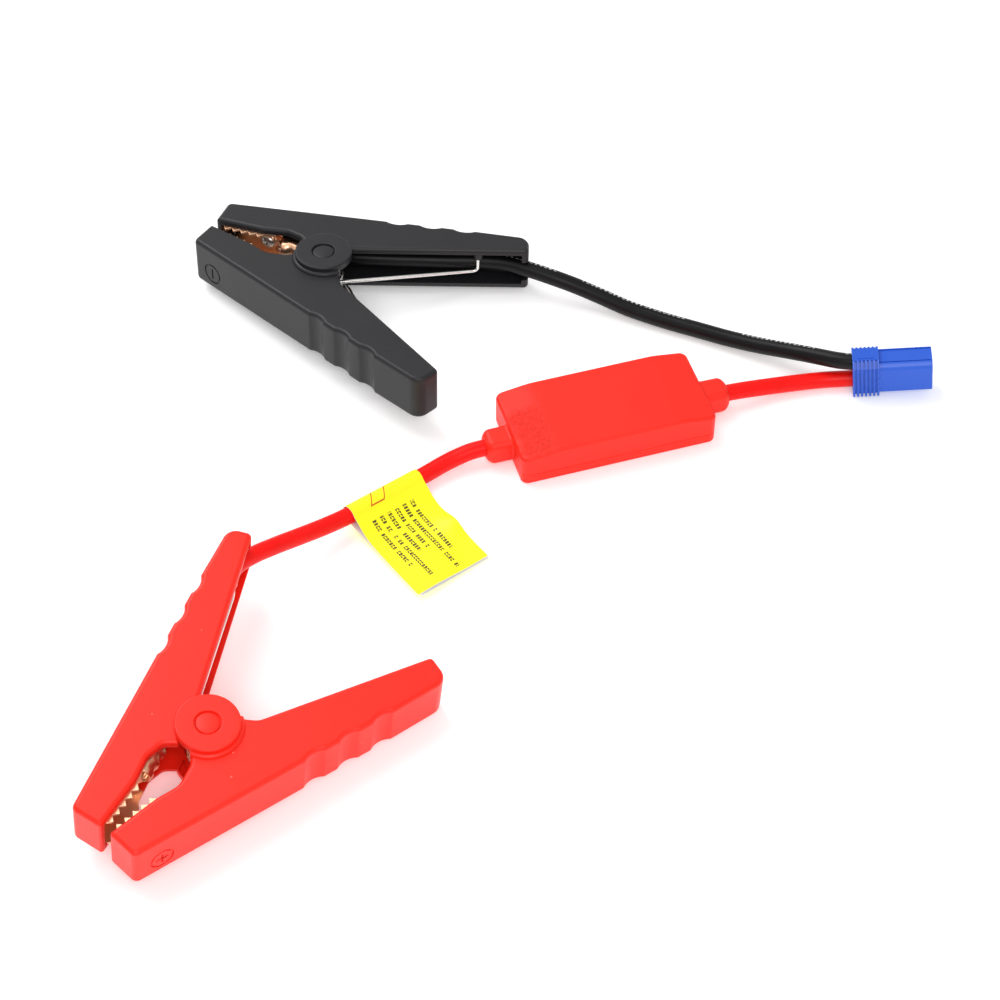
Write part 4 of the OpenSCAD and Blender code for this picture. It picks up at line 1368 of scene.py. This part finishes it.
tag = {
    "mid": (-48, -3.9, 6.5), "heading": 39.2, "pitch": 4.4, "width": 36.0, "thick": 0.28, "loop": 4.05,
    "yellow": (1.0, 0.93, 0.008), "yellowDeep": (0.97, 0.86, 0.006), "inkDark": (0.03, 0.022, 0.01),
       "inkOrange": (0.60, 0.06, 0.004),
    "waveSide": 1, "rowStart": 0.14, "rowPitch": 0.108, "rows": 6, "textFrom": 0.63, "textTo": 0.975,
       "letterPitch": 0.0122,
    "boxAt": (0.512, 0.475), "boxSize": (0.078, 0.33), "boxLean": 0.15,
}


# a strip folded round the cable: under leaf, loop, printed upper leaf
def tagShape():
    loop = tag["loop"]
    line = [(49, -4.9), (40, -4.9), (30, -4.9), (22, -4.9), (15, -4.8), (10.5, -4.6), (6.5, -4.35)]
    line += [(loop * math.cos(math.radians(a)), loop * math.sin(math.radians(a)))
             for a in range(-75, -331, -17)]
    line += [(6.5, 0.1), (9.5, -2.0), (13.5, -3.5), (20, -4.2), (28, -4.35), (38, -4.4), (48.5, -4.4)]
    path = smoothPath([(x, y, 0) for x, y in line], 1.1)
    total = pathLength(path)
    made = bmesh.new()
    layer = made.loops.layers.uv.new("UVMap")
    across = 30
    rows, shares, run = [], [], 0.0
    for i, p in enumerate(path):
        if i:
            run += (p - path[i - 1]).length
        share = run / total
        upper = max(0.0, (share - 0.66) / 0.34)
        row = []
        for k in range(across + 1):
            w = k / across - 0.5
            edgeSide = w if tag["waveSide"] > 0 else -w
            wave = math.exp(-((edgeSide - 0.5) / 0.2) ** 2) * math.exp(-((upper - 0.42) / 0.16) ** 2)
            lift = 2.6 * wave + 0.35 * upper * (1 + math.sin(edgeSide * 7.0 + upper * 3.0))
            lift += upper * 0.25 * (1 + noise.noise((w * 3.1, upper * 2.4, 1.7)))
            skew = -1.6 * upper if share > 0.5 else 0.0
            # local axes: x away from the cable, y up, z along the cable
            row.append(made.verts.new((p.x, p.y + lift, -w * tag["width"] - skew)))
        rows.append(row)
        shares.append(share)
    for i in range(len(rows) - 1):
        for k in range(across):
            face = made.faces.new((rows[i][k], rows[i + 1][k], rows[i + 1][k + 1], rows[i][k + 1]))
            for loopCorner, (a, b) in zip(face.loops, ((i, k), (i + 1, k), (i + 1, k + 1), (i, k + 1))):
                loopCorner[layer].uv = (shares[a], b / across)
    bmesh.ops.transform(made, verts=made.verts,
                        matrix=Matrix(((0, 0, -1, 0), (-1, 0, 0, 0), (0, 1, 0, 0), (0, 0, 0, 1))))
    return made, total


tagMesh, tagLong = tagShape()
tagPlace = (layoutPlace(tag["mid"]) @ spun(tag["heading"], "Z")
            @ spun(tag["pitch"], "Y"))
tagPiece = looseObject("warningTag", tagMesh)
yellowCard = printedCard("yellowCard", tag)
tagPiece.data.materials.append(yellowCard)
tagPiece.data.materials.append(whiteCard)
thick = tagPiece.modifiers.new("card", "SOLIDIFY")
thick.thickness = tag["thick"]
thick.offset = 0.0
thick.material_offset = 1
thick.material_offset_rim = 1
applyModifiers(tagPiece)
tagPiece.data.transform(tagPlace)
tagPiece.data.shade_smooth()
tagPiece.data.set_sharp_from_angle(angle=math.radians(40))
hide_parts("warning_tag")
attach(tagPiece, root)
print("tag made, cut length", round(tagLong, 1), "mm")


# stage

def paleFloor():
    finish = Finish("paleFloor", specular=0.15)
    place = finish.place()
    broad = finish.noise(place, 3, 2)
    finish.set("baseColor", finish.blend(broad, (0.90, 0.90, 0.90), (0.92, 0.92, 0.92)))
    finish.set("roughness", 0.75 + broad * 0.1)
    finish.set("emissionStrength", 0.22)
    finish.set("emission", (1, 1, 1))
    return finish.material


ground = bmesh.new()
bmesh.ops.create_grid(ground, x_segments=2, y_segments=2, size=4.0)
floor = looseObject("floor", ground)
floor.data.transform(Matrix.Translation((0, 0, -0.0001)))
floor.data.materials.append(paleFloor())

print("scene ready")
